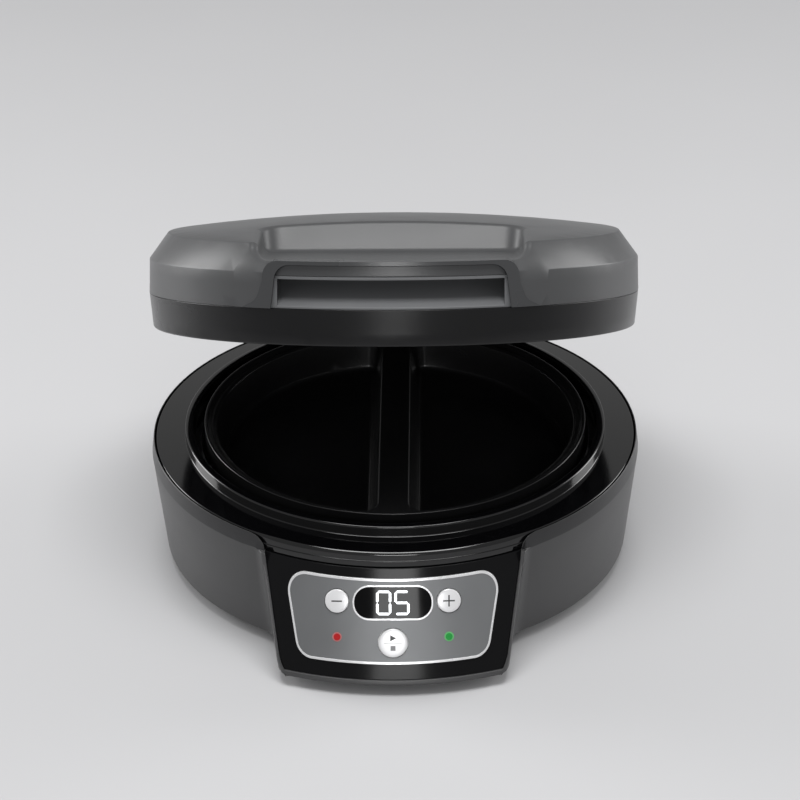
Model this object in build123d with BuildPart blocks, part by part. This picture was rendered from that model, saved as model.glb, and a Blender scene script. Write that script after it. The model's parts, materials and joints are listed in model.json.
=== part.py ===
from build123d import *
import os
from math import atan, cos, degrees, radians, sin, sqrt, tan

os.makedirs("parts", exist_ok=True)

# Driving dimensions, in millimetres and degrees.
# Base, measured from the deck plane and the pan axis
deck_height = 61.5
deck_land = 14.8
deck_skin = 2.4
skirt_depth = 7.2
skirt_wall = 1.8
skirt_bead_height = 3.0
skirt_bead_proud = 0.4
ring_height = 5.3
ring_width = 4.0
well_depth = 3.0
well_ledge = 4.0
foot_height = 5.0
foot_r = 8.0
foot_setback = 31.6
deck_fit = 0.3
deck_brow_r = 2.0

# Outer shell and its nose
rim_land = 0.5
bevel_out = 0.9
bevel_depth = 7.0
shell_wall = 2.4
shell_draft = 6.2
nose_root_half = 61.5
nose_root_setback = 21.6
nose_tip_half = 59.0
nose_tip_setout = 8.4
nose_corner_r = 16.0
nose_root_fillet = 9.0
nose_edge_r = 2.2
fascia_setout = 1.0
fascia_top_z = -8.0
fascia_slope = 0.485
fascia_thick = 2.4
lip_proud = 0.6
lip_side = 1.5
lip_bottom = 2.6
shoulder_r = 7.0
fascia_fit = 0.15
nose_front_spare = 0.6
window_spare = 4.0
cone_spare = 2.0
slab_spare = 12.0

# Control panel, heights below the deck plane
panel_top = 11.6
panel_bottom = 47.0
panel_top_half = 50.3
panel_bottom_half = 43.9
panel_top_corner = 9.0
panel_bottom_corner = 7.5
panel_thick = 0.5
panel_glue = 0.05
border_width = 0.95
border_proud = 0.2
button_x = 25.8
button_z = -22.0
button_r = 5.45
button_proud = 0.9
button_gap = 0.35
button_flange = 1.2
start_z = -38.3
start_r = 6.65
light_z = -36.9
light_r = 1.6
light_ring_width = 0.6
display_z = -21.6
display_half_length = 18.6
display_half_height = 8.1
display_ring_width = 0.8
display_corner_cut = 0.4
rod_half = 9.0
digit_height = 11.4
digit_width = 7.0
digit_step = 8.4
digit_stroke = 1.5
digit_proud = 0.12
board_setback = 11.0
board_thick = 1.6
board_half = 40.0
board_top_v = 14.0
board_lift = 3.85
switch_side = 6.0
switch_height = 3.4

# Cooking plates
plate_r = 93.3
plate_rim_width = 1.5
plate_rim_top = 6.6
plate_face = 5.0
plate_skin = 2.5
plate_skirt_bottom = -5.4
well_gap = 1.5
pocket_margin = 5.4
pocket_corner_r = 7.0
pocket_floor_r = 3.0
pocket_lip = 0.8
bar_width = 15.0
lower_pocket_depth = 18.0
upper_pocket_depth = 14.0
pocket_draft = 12.0
plate_gap = 0.4
heater_inset = 29.9
heater_tube_r = 3.25
heater_gap_angle = 24.0
heater_leg = 12.0
heater_hole_gap = 1.0
lower_dish_gap = 5.5
upper_dish_gap = 0.6
reflector_skin = 0.8
reflector_inset = 5.3
boss_r = 4.0
boss_inset = 13.0
screw_head_r = 3.4
screw_head_height = 2.0

# Lid, measured closed from the deck plane
lid_gap = 0.3
band_setback = 0.9
band_flare = 1.7
band_top = 17.0
band_wall = 2.2
band_lip_in = 4.0
cover_taper = 0.3
cover_wall_top = 33.3
crown_inset = 9.1
crown_base = 45.8
crown_height = 7.2
cover_skin = 2.4
crown_share = 0.8
band_edge = 0.6
scoop_half = 60.0
scoop_back = 46.0
scoop_floor = 38.3
scoop_corner_r = 9.0
scoop_floor_r = 4.0
scoop_rim_r = 3.0
scoop_lean = 35.0
scoop_side_lean = 6.0
scoop_ceiling = 54.0
lid_ceiling = 60.0
arch_half = 58.5
arch_foot_half = 68.0
arch_knee = 20.5
arch_waist = 28.5
arch_flare = 3.0
arch_lean = 1.1
arch_knee_r = 6.0
arch_waist_r = 12.0
arch_top = 38.7
arch_corner_r = 7.0
arch_width = 5.5
arch_bar = 1.8
arch_proud = 0.6
handle_depth = 12.4
grip_height = 5.0
grip_inset = 0.8
pocket_depth = 20.0
pocket_wall = 1.6
finger_ramp_rise = 12.5
liner_wall = 1.8
liner_step_gap = 1.8
liner_clearance = 1.2
liner_fit = 0.3
ramp_edge = 0.4
handle_spare = 9.0

# Hinge
hinge_setout = 16.4
hinge_z = -4.0
rest_angle = 22.5
barrel_r = 8.0
ear_r = 8.5
ear_width = 10.0
arm_half = 26.0
arm_side_gap = 0.5
pin_r = 2.5
pin_clearance = 0.05
hinge_block_top = 16.0
hinge_block_draft = 2.0
arm_top = 20.0
arm_foot = 3.0
arm_top_angle = 45.0
arm_under_angle = 20.0
arm_rim_gap = 1.5
arm_shoulder = 11.0
gland_x = 62.0
gland_z = -42.0
gland_r = 5.5
gland_bore_r = 3.6
gland_flange_r = 8.0
gland_length = 14.0
ear_foot = 3.0
block_corner_r = 6.0

# Fasteners, posts and inner pieces
deck_edge_r = 0.7
post_setback = 12.1
post_r = 4.5
post_angle = 38.0
screw_core_r = 1.3
screw_shank_r = 1.6
screw_bite = 8.0
thermostat_inset = 16.0
thermostat_y = 8.0
thermostat_r = 7.0
thermostat_height = 7.0
tab_thick = 0.8
tab_width = 4.0
tab_length = 3.5
fuse_r = 2.4
fuse_length = 18.0
standoff_r = 2.6
standoff_u = 36.0
standoff_v = 12.0
digit_gap = 0.2
digit_reach = 2.0
lens_thick = 1.8
module_width = 30.0
module_height = 13.0
module_gap = 4.0
light_proud = 0.5
light_length = 7.0
keeper_thick = 1.3
keeper_gap = 0.1
plunger_r = 1.9
press_gap = 1.0
cover_floor = 2.2
cover_fit = 0.2
vent_angles = (60, 120, 180, 0)
vent_circle_r = 45.0
vent_pitch = 6.0
vent_count = 5
vent_length = 24.0
vent_width = 2.6
power_setback = 55.6
power_length = 72.0
power_width = 34.0
power_lift = 4.0
relay_length = 19.0
relay_width = 15.5
relay_height = 15.0
relay_edge_r = 1.0
capacitor_r = 6.5
capacitor_height = 16.0
foot_angle = 45.0
foot_draft = 6.0
foot_edge_r = 1.0
gland_flange_thick = 2.0
gland_nose = 5.0
gland_draft = 6.0
gland_nut_gap = 0.4
pin_end_gap = 1.0
pin_chamfer = 0.4

# Radii and places that follow from the plate
well_r = plate_r + well_gap
ring_in_r = well_r + well_ledge
ring_r = ring_in_r + ring_width
deck_r = ring_r + deck_land
ledge_r = deck_r - skirt_wall
rim_r = deck_r + deck_fit
wall_top_r = rim_r + rim_land + bevel_out
post_circle_r = deck_r - post_setback
foot_circle_r = deck_r - foot_setback
power_y = deck_r - power_setback
fascia_top_r = deck_r + fascia_setout
nose_root_y = deck_r - nose_root_setback
nose_tip_y = deck_r + nose_tip_setout
pocket_r = plate_r - pocket_margin
heater_r = pocket_r - heater_inset
boss_y = heater_r - boss_inset
thermostat_x = heater_r - thermostat_inset
reflector_r = plate_r - reflector_inset
liner_step_r = ring_r + liner_step_gap
band_foot_r = deck_r - band_setback
band_r = band_foot_r + band_flare
cover_top_r = band_r - cover_taper
crown_r = cover_top_r - crown_inset
handle_in_r = band_r - handle_depth
hinge_y = deck_r + hinge_setout
arm_shoulder_y = hinge_y - arm_shoulder

# Derived frames
knuckle_reach = hinge_y + ear_r
shell_bottom = foot_height - deck_height
cover_top = shell_bottom + cover_floor
nose_reach = fascia_top_r + fascia_slope * (fascia_top_z - shell_bottom) + lip_proud
wall_run = (-bevel_depth - shell_bottom) * tan(radians(shell_draft))
nose_front_r = nose_reach + wall_run + nose_front_spare
pan_y = (nose_reach - knuckle_reach) / 2
base_origin = Vector(0, pan_y, deck_height)
lid_back = Vector(0, cos(radians(rest_angle)), -sin(radians(rest_angle)))
lid_up = Vector(0, sin(radians(rest_angle)), cos(radians(rest_angle)))
lid_origin = base_origin + Vector(0, hinge_y, hinge_z) - lid_back * hinge_y - lid_up * hinge_z
base_axis = Axis((0, pan_y, 0), (0, 0, 1))
lid_axis = Axis(lid_origin, lid_up)
panel_tilt = degrees(atan(fascia_slope))
gland_wall_r = wall_top_r + (gland_z + bevel_depth) * tan(radians(shell_draft))
gland_dir = Vector(gland_x, sqrt(gland_wall_r ** 2 - gland_x ** 2), 0).normalized()
gland_plane = Plane(origin=base_origin + gland_dir * gland_wall_r + Vector(0, 0, gland_z), z_dir=gland_dir)


def base_xy(z=0.0):
    """Horizontal plane of the base at a height over the deck plane."""
    return Plane(origin=base_origin + Vector(0, 0, z), x_dir=(1, 0, 0), z_dir=(0, 0, 1))


def base_xz():
    """Upright plane through the pan axis, facing forward."""
    return Plane(origin=base_origin, x_dir=(1, 0, 0), z_dir=(0, -1, 0))


def base_yz(x=0.0):
    """Upright plane that faces right, at a place across the base."""
    return Plane(origin=base_origin + Vector(x, 0, 0), x_dir=(0, 1, 0), z_dir=(1, 0, 0))


def lid_xy(z=0.0):
    """Plane of the lid at a height measured with the lid closed."""
    return Plane(origin=lid_origin + lid_up * z, x_dir=(1, 0, 0), z_dir=lid_up)


def lid_xz():
    """Upright plane through the lid axis, facing forward."""
    return Plane(origin=lid_origin, x_dir=(1, 0, 0), z_dir=-lid_back)


def lid_yz(x=0.0):
    """Upright plane of the lid that faces right, at a place across it."""
    return Plane(origin=lid_origin + Vector(x, 0, 0), x_dir=lid_back, z_dir=(1, 0, 0))


def fascia_r(z):
    """Radius of the cone-shaped control face at a height."""
    return fascia_top_r + fascia_slope * (fascia_top_z - z)


def panel_plane(x, z, setback=0.0):
    """Plane on the control face at a front-view place, facing along the panel's centre normal."""
    y = -sqrt(fascia_r(z) ** 2 - x ** 2)
    normal = Vector(0, -cos(radians(panel_tilt)), sin(radians(panel_tilt)))
    point = Vector(x, y + pan_y, z + deck_height) - normal * setback
    return Plane(origin=point, x_dir=(1, 0, 0), z_dir=normal)


def fascia_slab(outer, inner):
    """Cone-shaped slab between two offsets from the control face."""
    z_top = fascia_top_z + slab_spare
    z_bottom = shell_bottom - slab_spare
    with BuildPart(mode=Mode.PRIVATE) as slab:
        with BuildSketch(base_xz()):
            with BuildLine():
                Polyline(
                    (fascia_r(z_top) + inner, z_top),
                    (fascia_r(z_top) + outer, z_top),
                    (fascia_r(z_bottom) + outer, z_bottom),
                    (fascia_r(z_bottom) + inner, z_bottom),
                    close=True,
                )
            make_face()
        revolve(axis=base_axis)
    return slab.part


def nose_outline(inset, front_r):
    """Plan of the nose alone: straight tapering sides, a round front and rounded corners."""
    lean = (nose_root_half - nose_tip_half) / (nose_tip_y - nose_root_y)
    back_half = nose_root_half + lean * nose_root_y - inset
    front_half = nose_root_half - lean * (nose_reach + nose_corner_r - nose_root_y) - inset
    front_y = nose_reach + nose_corner_r
    with BuildSketch(mode=Mode.PRIVATE) as nose:
        with BuildLine():
            Polyline(
                (back_half, 0), (front_half, -front_y), (-front_half, -front_y), (-back_half, 0), close=True,
            )
        make_face()
        Circle(front_r, mode=Mode.INTERSECT)
        fillet(nose.vertices().filter_by(lambda v: v.Y < -nose_tip_y), nose_corner_r - inset)
    return nose.sketch


def body_outline(inset):
    """Plan of the whole body under the bevel: a round wall that runs into the nose."""
    round_r = wall_top_r - inset
    with BuildSketch(mode=Mode.PRIVATE) as plan:
        add(nose_outline(inset, nose_front_r - inset))
        Circle(round_r)
        roots = plan.vertices().filter_by(lambda v: -round_r < v.Y < -nose_root_y)
        fillet(roots.sort_by(Axis.Y)[-2:], nose_root_fillet + inset)
    return plan.sketch


def draft_inset(z):
    """How far the drafted wall has moved in at a height, counted from under the bevel."""
    return (-bevel_depth - z) * tan(radians(shell_draft))


def body_prism(inset, top, bottom):
    """Drafted prism of the whole body between two heights."""
    with BuildPart(mode=Mode.PRIVATE) as prism:
        with BuildSketch(base_xy(top)):
            add(body_outline(inset + draft_inset(top)))
        extrude(amount=top - bottom, dir=(0, 0, -1), taper=shell_draft)
    return prism.part


def nose_prism(inset, top, bottom):
    """Drafted prism of the nose alone between two heights."""
    with BuildPart(mode=Mode.PRIVATE) as prism:
        with BuildSketch(base_xy(top)):
            add(nose_outline(inset + draft_inset(top), nose_front_r))
        extrude(amount=top - bottom, dir=(0, 0, -1), taper=shell_draft)
    return prism.part


def cone_core(inset):
    """Solid cone inside the control face, wide enough above it to spare the round wall."""
    turn_z = fascia_top_z - (wall_top_r + cone_spare - fascia_top_r - inset) / fascia_slope
    low_z = shell_bottom - cone_spare
    with BuildPart(mode=Mode.PRIVATE) as core:
        with BuildSketch(base_xz()):
            with BuildLine():
                Polyline(
                    (0, cone_spare),
                    (fascia_r(turn_z) + inset, cone_spare),
                    (fascia_r(turn_z) + inset, turn_z),
                    (fascia_r(low_z) + inset, low_z),
                    (0, low_z),
                    close=True,
                )
            make_face()
        revolve(axis=base_axis)
    return core.part


def half_moons(grow):
    """Outline of the two cooking pockets: each a round side, a straight side and rounded tips."""
    with BuildSketch(mode=Mode.PRIVATE) as moons:
        Circle(pocket_r + grow)
        with Locations((bar_width / 2 - grow, 0)):
            Rectangle(2 * pocket_r, 3 * pocket_r, align=(Align.MIN, Align.CENTER), mode=Mode.INTERSECT)
        fillet(moons.vertices(), pocket_corner_r + grow)
        mirror(about=Plane.YZ)
    return moons.sketch


def pocket_rooms(plane, way, depth):
    """Room of both cooking pockets, below or above a plane: drafted walls and a rounded floor."""
    with BuildPart(mode=Mode.PRIVATE) as rooms:
        with BuildSketch(plane):
            add(half_moons(0))
        extrude(amount=depth, dir=plane.z_dir * way, taper=pocket_draft)
        floors = rooms.faces().sort_by(Axis(plane.origin, plane.z_dir * way))[-2:]
        fillet(floors.edges(), pocket_floor_r)
    return rooms.part


def lip_rings(plane, way):
    """Cut that bevels the pocket edges."""
    with BuildPart(mode=Mode.PRIVATE) as rings:
        with BuildSketch(plane):
            add(half_moons(pocket_lip))
        extrude(amount=pocket_lip, dir=plane.z_dir * way, taper=45)
    return rings.part


def panel_outline(inset):
    """Front view of the control panel, a tapering shape with large corners."""
    lean = (panel_top_half - panel_bottom_half) / (panel_bottom - panel_top)
    top_half = panel_top_half - inset * (1 + lean)
    bottom_half = panel_bottom_half - inset * (1 - lean)
    top = -panel_top - inset
    bottom = -panel_bottom + inset
    with BuildSketch(mode=Mode.PRIVATE) as outline:
        with BuildLine():
            Polyline(
                (top_half, top), (bottom_half, bottom), (-bottom_half, bottom), (-top_half, top), close=True,
            )
        make_face()
        fillet(outline.vertices().group_by(Axis.Y)[-1], panel_top_corner - inset)
        fillet(outline.vertices().group_by(Axis.Y)[0], panel_bottom_corner - inset)
    return outline.sketch


def front_prism(sketch):
    """A front-view outline run forward from the pan axis past the control face."""
    with BuildPart(mode=Mode.PRIVATE) as prism:
        with BuildSketch(base_xz()):
            add(sketch)
        extrude(amount=nose_reach + cone_spare)
    return prism.part


def shoulder_outline():
    """Front view of the two corners cut off the rim beside the window, each a concave quarter."""
    lean = (nose_root_half - nose_tip_half) / (nose_tip_y - nose_root_y)
    front_y = sqrt(fascia_r(-shoulder_r) ** 2 - nose_root_half ** 2)
    edge = nose_root_half - lean * (front_y - nose_root_y) - lip_side - draft_inset(-shoulder_r)
    with BuildSketch(mode=Mode.PRIVATE) as corners:
        with Locations((edge, -shoulder_r)):
            Rectangle(shoulder_r, 2 * shoulder_r, align=(Align.MIN, Align.MIN))
        with Locations((edge + shoulder_r, -shoulder_r)):
            Circle(shoulder_r, mode=Mode.SUBTRACT)
        with Locations((edge, -shoulder_r)):
            Rectangle(2 * lip_side, 2 * shoulder_r, align=(Align.MAX, Align.MIN))
        mirror(about=Plane.YZ)
    return corners.sketch


def face_rod(x, z, radius):
    """A long round rod along the panel's centre normal, through a place on the control face."""
    with BuildPart(mode=Mode.PRIVATE) as rod:
        with BuildSketch(panel_plane(x, z)):
            Circle(radius)
        extrude(amount=rod_half, both=True)
    return rod.part


def display_rod(inset):
    """A long rod with the display window's outline."""
    with BuildPart(mode=Mode.PRIVATE) as rod:
        with BuildSketch(panel_plane(0, display_z)):
            RectangleRounded(
                2 * (display_half_length - inset),
                2 * (display_half_height - inset),
                display_half_height - inset - display_corner_cut,
            )
        extrude(amount=rod_half, both=True)
    return rod.part


def lid_turn(*points):
    """Solid of revolution about the lid axis from radius and height pairs."""
    with BuildPart(mode=Mode.PRIVATE) as turned:
        with BuildSketch(lid_xz()):
            with BuildLine():
                Polyline(*points, close=True)
            make_face()
        revolve(axis=lid_axis)
    return turned.part


def base_turn(*points):
    """Solid of revolution about the pan axis from radius and height pairs."""
    with BuildPart(mode=Mode.PRIVATE) as turned:
        with BuildSketch(base_xz()):
            with BuildLine():
                Polyline(*points, close=True)
            make_face()
        revolve(axis=base_axis)
    return turned.part


def lid_front_prism(sketch):
    """A front-view outline of the lid run forward from the lid axis."""
    with BuildPart(mode=Mode.PRIVATE) as prism:
        with BuildSketch(lid_xz()):
            add(sketch)
        extrude(amount=band_r + cone_spare)
    return prism.part


board_plane = panel_plane(0, (button_z + light_z) / 2, board_setback)
board_drop = board_plane.origin.Z - deck_height - cover_top - board_lift
board_bottom_v = board_drop / cos(radians(panel_tilt))
display_v = board_plane.to_local_coords(panel_plane(0, display_z).origin).Y

# Outer shell
cavity_top = -skirt_depth - shell_wall
ear_out = arm_half + arm_side_gap + ear_width
block_half = ear_out + ear_foot

with BuildPart() as outer_shell:
    # Drafted body, with the nose cut back to its cone-shaped front
    add(body_prism(0, -bevel_depth, shell_bottom))
    add(cone_core(lip_proud), mode=Mode.INTERSECT)
    nose_faces = outer_shell.faces().filter_by(lambda face: face.center().Y < -nose_root_y)
    nose_front = nose_faces.sort_by(SortBy.AREA)[-1]
    fillet(nose_front.edges().sort_by(Axis.Z)[1:-1], nose_edge_r)
    # Bevelled top rim
    add(base_turn((0, -bevel_depth), (wall_top_r, -bevel_depth), (rim_r + rim_land, 0), (0, 0)))
    # Hinge block and its two ears
    with BuildSketch(base_xy(-hinge_block_top)):
        with Locations((0, knuckle_reach)):
            Rectangle(2 * block_half, knuckle_reach - well_r, align=(Align.CENTER, Align.MAX))
        fillet(vertices().group_by(Axis.Y)[-1], block_corner_r)
    extrude(amount=-hinge_block_top - shell_bottom, dir=(0, 0, -1), taper=hinge_block_draft)
    with BuildSketch(base_yz(-ear_out), base_yz(ear_out - ear_width)):
        with Locations((hinge_y, hinge_z)):
            Circle(ear_r)
        with Locations((hinge_y, hinge_z)):
            Rectangle(2 * ear_r, hinge_block_top + hinge_z + ear_r, align=(Align.CENTER, Align.MAX))
    extrude(amount=ear_width)
    # Inside of the body and of the hinge block
    with BuildPart(mode=Mode.PRIVATE) as body_cavity:
        add(body_prism(shell_wall, cavity_top, shell_bottom - cone_spare))
        add(cone_core(-fascia_thick), mode=Mode.INTERSECT)
    add(body_cavity.part, mode=Mode.SUBTRACT)
    with BuildSketch(base_xy(-hinge_block_top - shell_wall)):
        with Locations((0, knuckle_reach - shell_wall)):
            Rectangle(2 * (block_half - shell_wall), knuckle_reach - well_r, align=(Align.CENTER, Align.MAX))
        fillet(vertices().group_by(Axis.Y)[-1], block_corner_r - shell_wall)
    block_depth = -hinge_block_top - shell_wall - cover_top
    extrude(amount=block_depth, dir=(0, 0, -1), taper=hinge_block_draft, mode=Mode.SUBTRACT)
    # Seat for the deck with its ledge
    with BuildSketch(base_xy(cavity_top)):
        Circle(ledge_r)
    extrude(amount=-cavity_top, mode=Mode.SUBTRACT)
    with BuildSketch(base_xy(-skirt_depth)):
        Circle(rim_r)
    extrude(amount=skirt_depth, mode=Mode.SUBTRACT)
    # Window for the controls
    with BuildPart(mode=Mode.PRIVATE) as window:
        add(nose_prism(lip_side, rim_land, shell_bottom + lip_bottom))
        add(fascia_slab(cone_spare + window_spare, -fascia_thick - window_spare), mode=Mode.INTERSECT)
    add(window.part, mode=Mode.SUBTRACT)
    # Rounded shoulders where the rim runs down beside the window
    add(front_prism(shoulder_outline()), mode=Mode.SUBTRACT)
    # Pin bores and the gland hole
    with BuildSketch(base_yz(-ear_out)):
        with Locations((hinge_y, hinge_z)):
            Circle(pin_r)
    extrude(amount=2 * ear_out, mode=Mode.SUBTRACT)
    with BuildSketch(gland_plane):
        Circle(gland_r)
    extrude(amount=gland_length, both=True, mode=Mode.SUBTRACT)
outer_shell.part.label = "outer_shell"
export_step(outer_shell.part, "parts/outer_shell.step")

# Deck with the raised ring, the well and four screw posts
with BuildPart() as deck:
    add(base_turn(
        (well_r, -well_depth - deck_skin), (well_r, -well_depth), (ring_in_r, -well_depth),
        (ring_in_r, ring_height), (ring_r, ring_height), (ring_r, 0), (deck_r - skirt_bead_proud, 0),
        (deck_r - skirt_bead_proud, skirt_bead_height - skirt_depth),
        (deck_r, skirt_bead_height - skirt_depth), (deck_r, -skirt_depth), (deck_r - skirt_wall, -skirt_depth), (deck_r - skirt_wall, -deck_skin),
        (ring_r, -deck_skin), (ring_r - deck_skin, -well_depth - deck_skin),
    ))
    rims = deck.edges().filter_by(GeomType.CIRCLE).group_by(Axis.Z)
    fillet(rims[-1] + rims[-2].sort_by(SortBy.RADIUS)[:-1], deck_edge_r)
    rims = deck.edges().filter_by(GeomType.CIRCLE)
    level_rims = rims.filter_by(lambda rim: abs(rim.center().Z - deck_height) < deck_fit)
    fillet(level_rims.sort_by(SortBy.RADIUS)[-1], deck_brow_r)
    with BuildSketch(base_xy(-deck_skin)):
        with PolarLocations(post_circle_r, 4, start_angle=post_angle):
            Circle(post_r)
    extrude(amount=-deck_skin - cover_top, dir=(0, 0, -1))
    with BuildSketch(base_xy(cover_top)):
        with PolarLocations(post_circle_r, 4, start_angle=post_angle):
            Circle(screw_core_r)
    extrude(amount=screw_bite, dir=(0, 0, 1), mode=Mode.SUBTRACT)
deck.part.label = "deck"
export_step(deck.part, "parts/deck.step")

# Lower cooking plate
lower_boss_length = lower_pocket_depth + 2 * heater_tube_r + lower_dish_gap
with BuildPart() as lower_plate:
    add(base_turn(
        (0, plate_face - plate_skin), (plate_r - plate_rim_width, plate_face - plate_skin),
        (plate_r - plate_rim_width, plate_skirt_bottom), (plate_r, plate_skirt_bottom),
        (plate_r, plate_rim_top), (plate_r - plate_rim_width, plate_rim_top),
        (plate_r - 2 * plate_rim_width, plate_face), (0, plate_face),
    ))
    with BuildSketch(base_xy(plate_face)):
        add(half_moons(plate_skin))
    extrude(amount=lower_pocket_depth + plate_skin, dir=(0, 0, -1), taper=pocket_draft)
    add(pocket_rooms(base_xy(plate_face), -1, lower_pocket_depth), mode=Mode.SUBTRACT)
    add(lip_rings(base_xy(plate_face), -1), mode=Mode.SUBTRACT)
    with BuildSketch(base_xy(plate_face - plate_skin)):
        with Locations((0, boss_y), (0, -boss_y)):
            Circle(boss_r)
    extrude(amount=lower_boss_length, dir=(0, 0, -1))
    with BuildSketch(base_xy(plate_face - plate_skin - lower_boss_length)):
        with Locations((0, boss_y), (0, -boss_y)):
            Circle(screw_core_r)
    extrude(amount=screw_bite, mode=Mode.SUBTRACT)
lower_plate.part.label = "lower_plate"
export_step(lower_plate.part, "parts/lower_plate.step")


def heater_ends():
    """Plan places of the heater's two terminal legs."""
    gap = radians(heater_gap_angle)
    return (-heater_r * sin(gap), heater_r * cos(gap)), (heater_r * sin(gap), heater_r * cos(gap))


def tube_heater(frame, leg_sign):
    """Tubular heater: an open ring of tube with two terminal legs."""
    with BuildPart(mode=Mode.PRIVATE) as heater:
        with BuildLine(frame):
            ring = CenterArc((0, 0), heater_r, 90 + heater_gap_angle, 360 - 2 * heater_gap_angle)
        with BuildSketch(Plane(origin=ring @ 0, z_dir=ring % 0)):
            Circle(heater_tube_r)
        sweep()
        with BuildSketch(frame):
            with Locations(*heater_ends()):
                Circle(heater_tube_r)
        extrude(amount=leg_sign * heater_leg)
    return heater.part


# Lower heater, its dish, thermostat, fuse and screws
lower_pocket_floor = plate_face - lower_pocket_depth - plate_skin
with BuildPart() as lower_heater:
    add(tube_heater(base_xy(lower_pocket_floor - heater_tube_r), -1))
lower_heater.part.label = "lower_heater"
export_step(lower_heater.part, "parts/lower_heater.step")

dish_top = plate_skirt_bottom
dish_floor = plate_face - plate_skin - lower_boss_length
with BuildPart() as lower_reflector:
    add(base_turn(
        (0, dish_floor), (reflector_r, dish_floor), (well_r, dish_top - reflector_skin),
        (well_r, dish_top), (ring_in_r, dish_top), (ring_in_r, dish_top - reflector_skin),
        (well_r + reflector_skin, dish_top - 2 * reflector_skin),
        (reflector_r + reflector_skin, dish_floor - reflector_skin), (0, dish_floor - reflector_skin),
    ))
    with BuildSketch(base_xy(dish_floor)):
        with Locations((0, boss_y), (0, -boss_y)):
            Circle(screw_shank_r)
        with Locations(*heater_ends()):
            Circle(heater_tube_r + heater_hole_gap)
    extrude(amount=reflector_skin, dir=(0, 0, -1), mode=Mode.SUBTRACT)
lower_reflector.part.label = "lower_reflector"
export_step(lower_reflector.part, "parts/lower_reflector.step")

with BuildPart() as lower_thermostat:
    with BuildSketch(base_xy(lower_pocket_floor)):
        with Locations((-thermostat_x, thermostat_y)):
            Circle(thermostat_r)
    extrude(amount=thermostat_height, dir=(0, 0, -1))
    with BuildSketch(base_xy(lower_pocket_floor - thermostat_height)):
        with Locations((-thermostat_x, thermostat_y)):
            with GridLocations(thermostat_r, 0, 2, 1):
                Rectangle(tab_thick, tab_width)
    extrude(amount=tab_length, dir=(0, 0, -1))
lower_thermostat.part.label = "lower_thermostat"
export_step(lower_thermostat.part, "parts/lower_thermostat.step")

with BuildPart() as lower_fuse:
    with BuildSketch(base_yz(thermostat_x - fuse_length / 2)):
        with Locations((thermostat_y, lower_pocket_floor - fuse_r)):
            Circle(fuse_r)
    extrude(amount=fuse_length)
lower_fuse.part.label = "lower_fuse"
export_step(lower_fuse.part, "parts/lower_fuse.step")

with BuildPart() as lower_plate_screws:
    with BuildSketch(base_xy(dish_floor - reflector_skin)):
        with Locations((0, boss_y), (0, -boss_y)):
            Circle(screw_head_r)
    extrude(amount=screw_head_height, dir=(0, 0, -1))
    with BuildSketch(base_xy(dish_floor - reflector_skin)):
        with Locations((0, boss_y), (0, -boss_y)):
            Circle(screw_core_r)
    extrude(amount=screw_bite)
lower_plate_screws.part.label = "lower_plate_screws"
export_step(lower_plate_screws.part, "parts/lower_plate_screws.step")

# Control fascia with holes for the buttons, lights and window
button_places = {"minus": (-button_x, button_z), "plus": (button_x, button_z), "start": (0, start_z)}
button_radii = {"minus": button_r, "plus": button_r, "start": start_r}
light_places = {"power": (-button_x, light_z), "ready": (button_x, light_z)}
ring_out_r = light_r + light_ring_width

with BuildPart() as control_fascia:
    add(nose_prism(lip_side + fascia_fit, -skirt_depth - deck_fit, shell_bottom + lip_bottom + fascia_fit))
    add(fascia_slab(0, -fascia_thick), mode=Mode.INTERSECT)
    for name, (x, z) in button_places.items():
        add(face_rod(x, z, button_radii[name] + button_gap), mode=Mode.SUBTRACT)
    for x, z in light_places.values():
        add(face_rod(x, z, ring_out_r), mode=Mode.SUBTRACT)
    add(display_rod(0), mode=Mode.SUBTRACT)
    # Four standoffs carry the control board
    with BuildSketch(board_plane):
        with GridLocations(2 * standoff_u, 2 * standoff_v, 2, 2):
            Circle(standoff_r)
    extrude(until=Until.NEXT)
control_fascia.part.label = "control_fascia"
export_step(control_fascia.part, "parts/control_fascia.step")

with BuildPart() as control_panel:
    add(front_prism(panel_outline(border_width)))
    add(fascia_slab(panel_thick, panel_glue), mode=Mode.INTERSECT)
    for name, (x, z) in button_places.items():
        add(face_rod(x, z, button_radii[name] + button_gap), mode=Mode.SUBTRACT)
    for x, z in light_places.values():
        add(face_rod(x, z, ring_out_r), mode=Mode.SUBTRACT)
    add(display_rod(0), mode=Mode.SUBTRACT)
control_panel.part.label = "control_panel"
export_step(control_panel.part, "parts/control_panel.step")

with BuildPart() as panel_border:
    add(front_prism(panel_outline(0)))
    add(front_prism(panel_outline(border_width)), mode=Mode.SUBTRACT)
    add(fascia_slab(panel_thick + border_proud, panel_glue), mode=Mode.INTERSECT)
panel_border.part.label = "panel_border"
export_step(panel_border.part, "parts/panel_border.step")

# Display: silver ring, dark lens, lit digits and the module behind
with BuildPart() as display_ring:
    add(display_rod(0))
    add(display_rod(display_ring_width), mode=Mode.SUBTRACT)
    add(fascia_slab(panel_thick + border_proud, -fascia_thick), mode=Mode.INTERSECT)
display_ring.part.label = "display_ring"
export_step(display_ring.part, "parts/display_ring.step")

with BuildPart() as display_lens:
    add(display_rod(display_ring_width))
    add(fascia_slab(panel_thick, panel_thick - lens_thick), mode=Mode.INTERSECT)
display_lens.part.label = "display_lens"
export_step(display_lens.part, "parts/display_lens.step")


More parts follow.
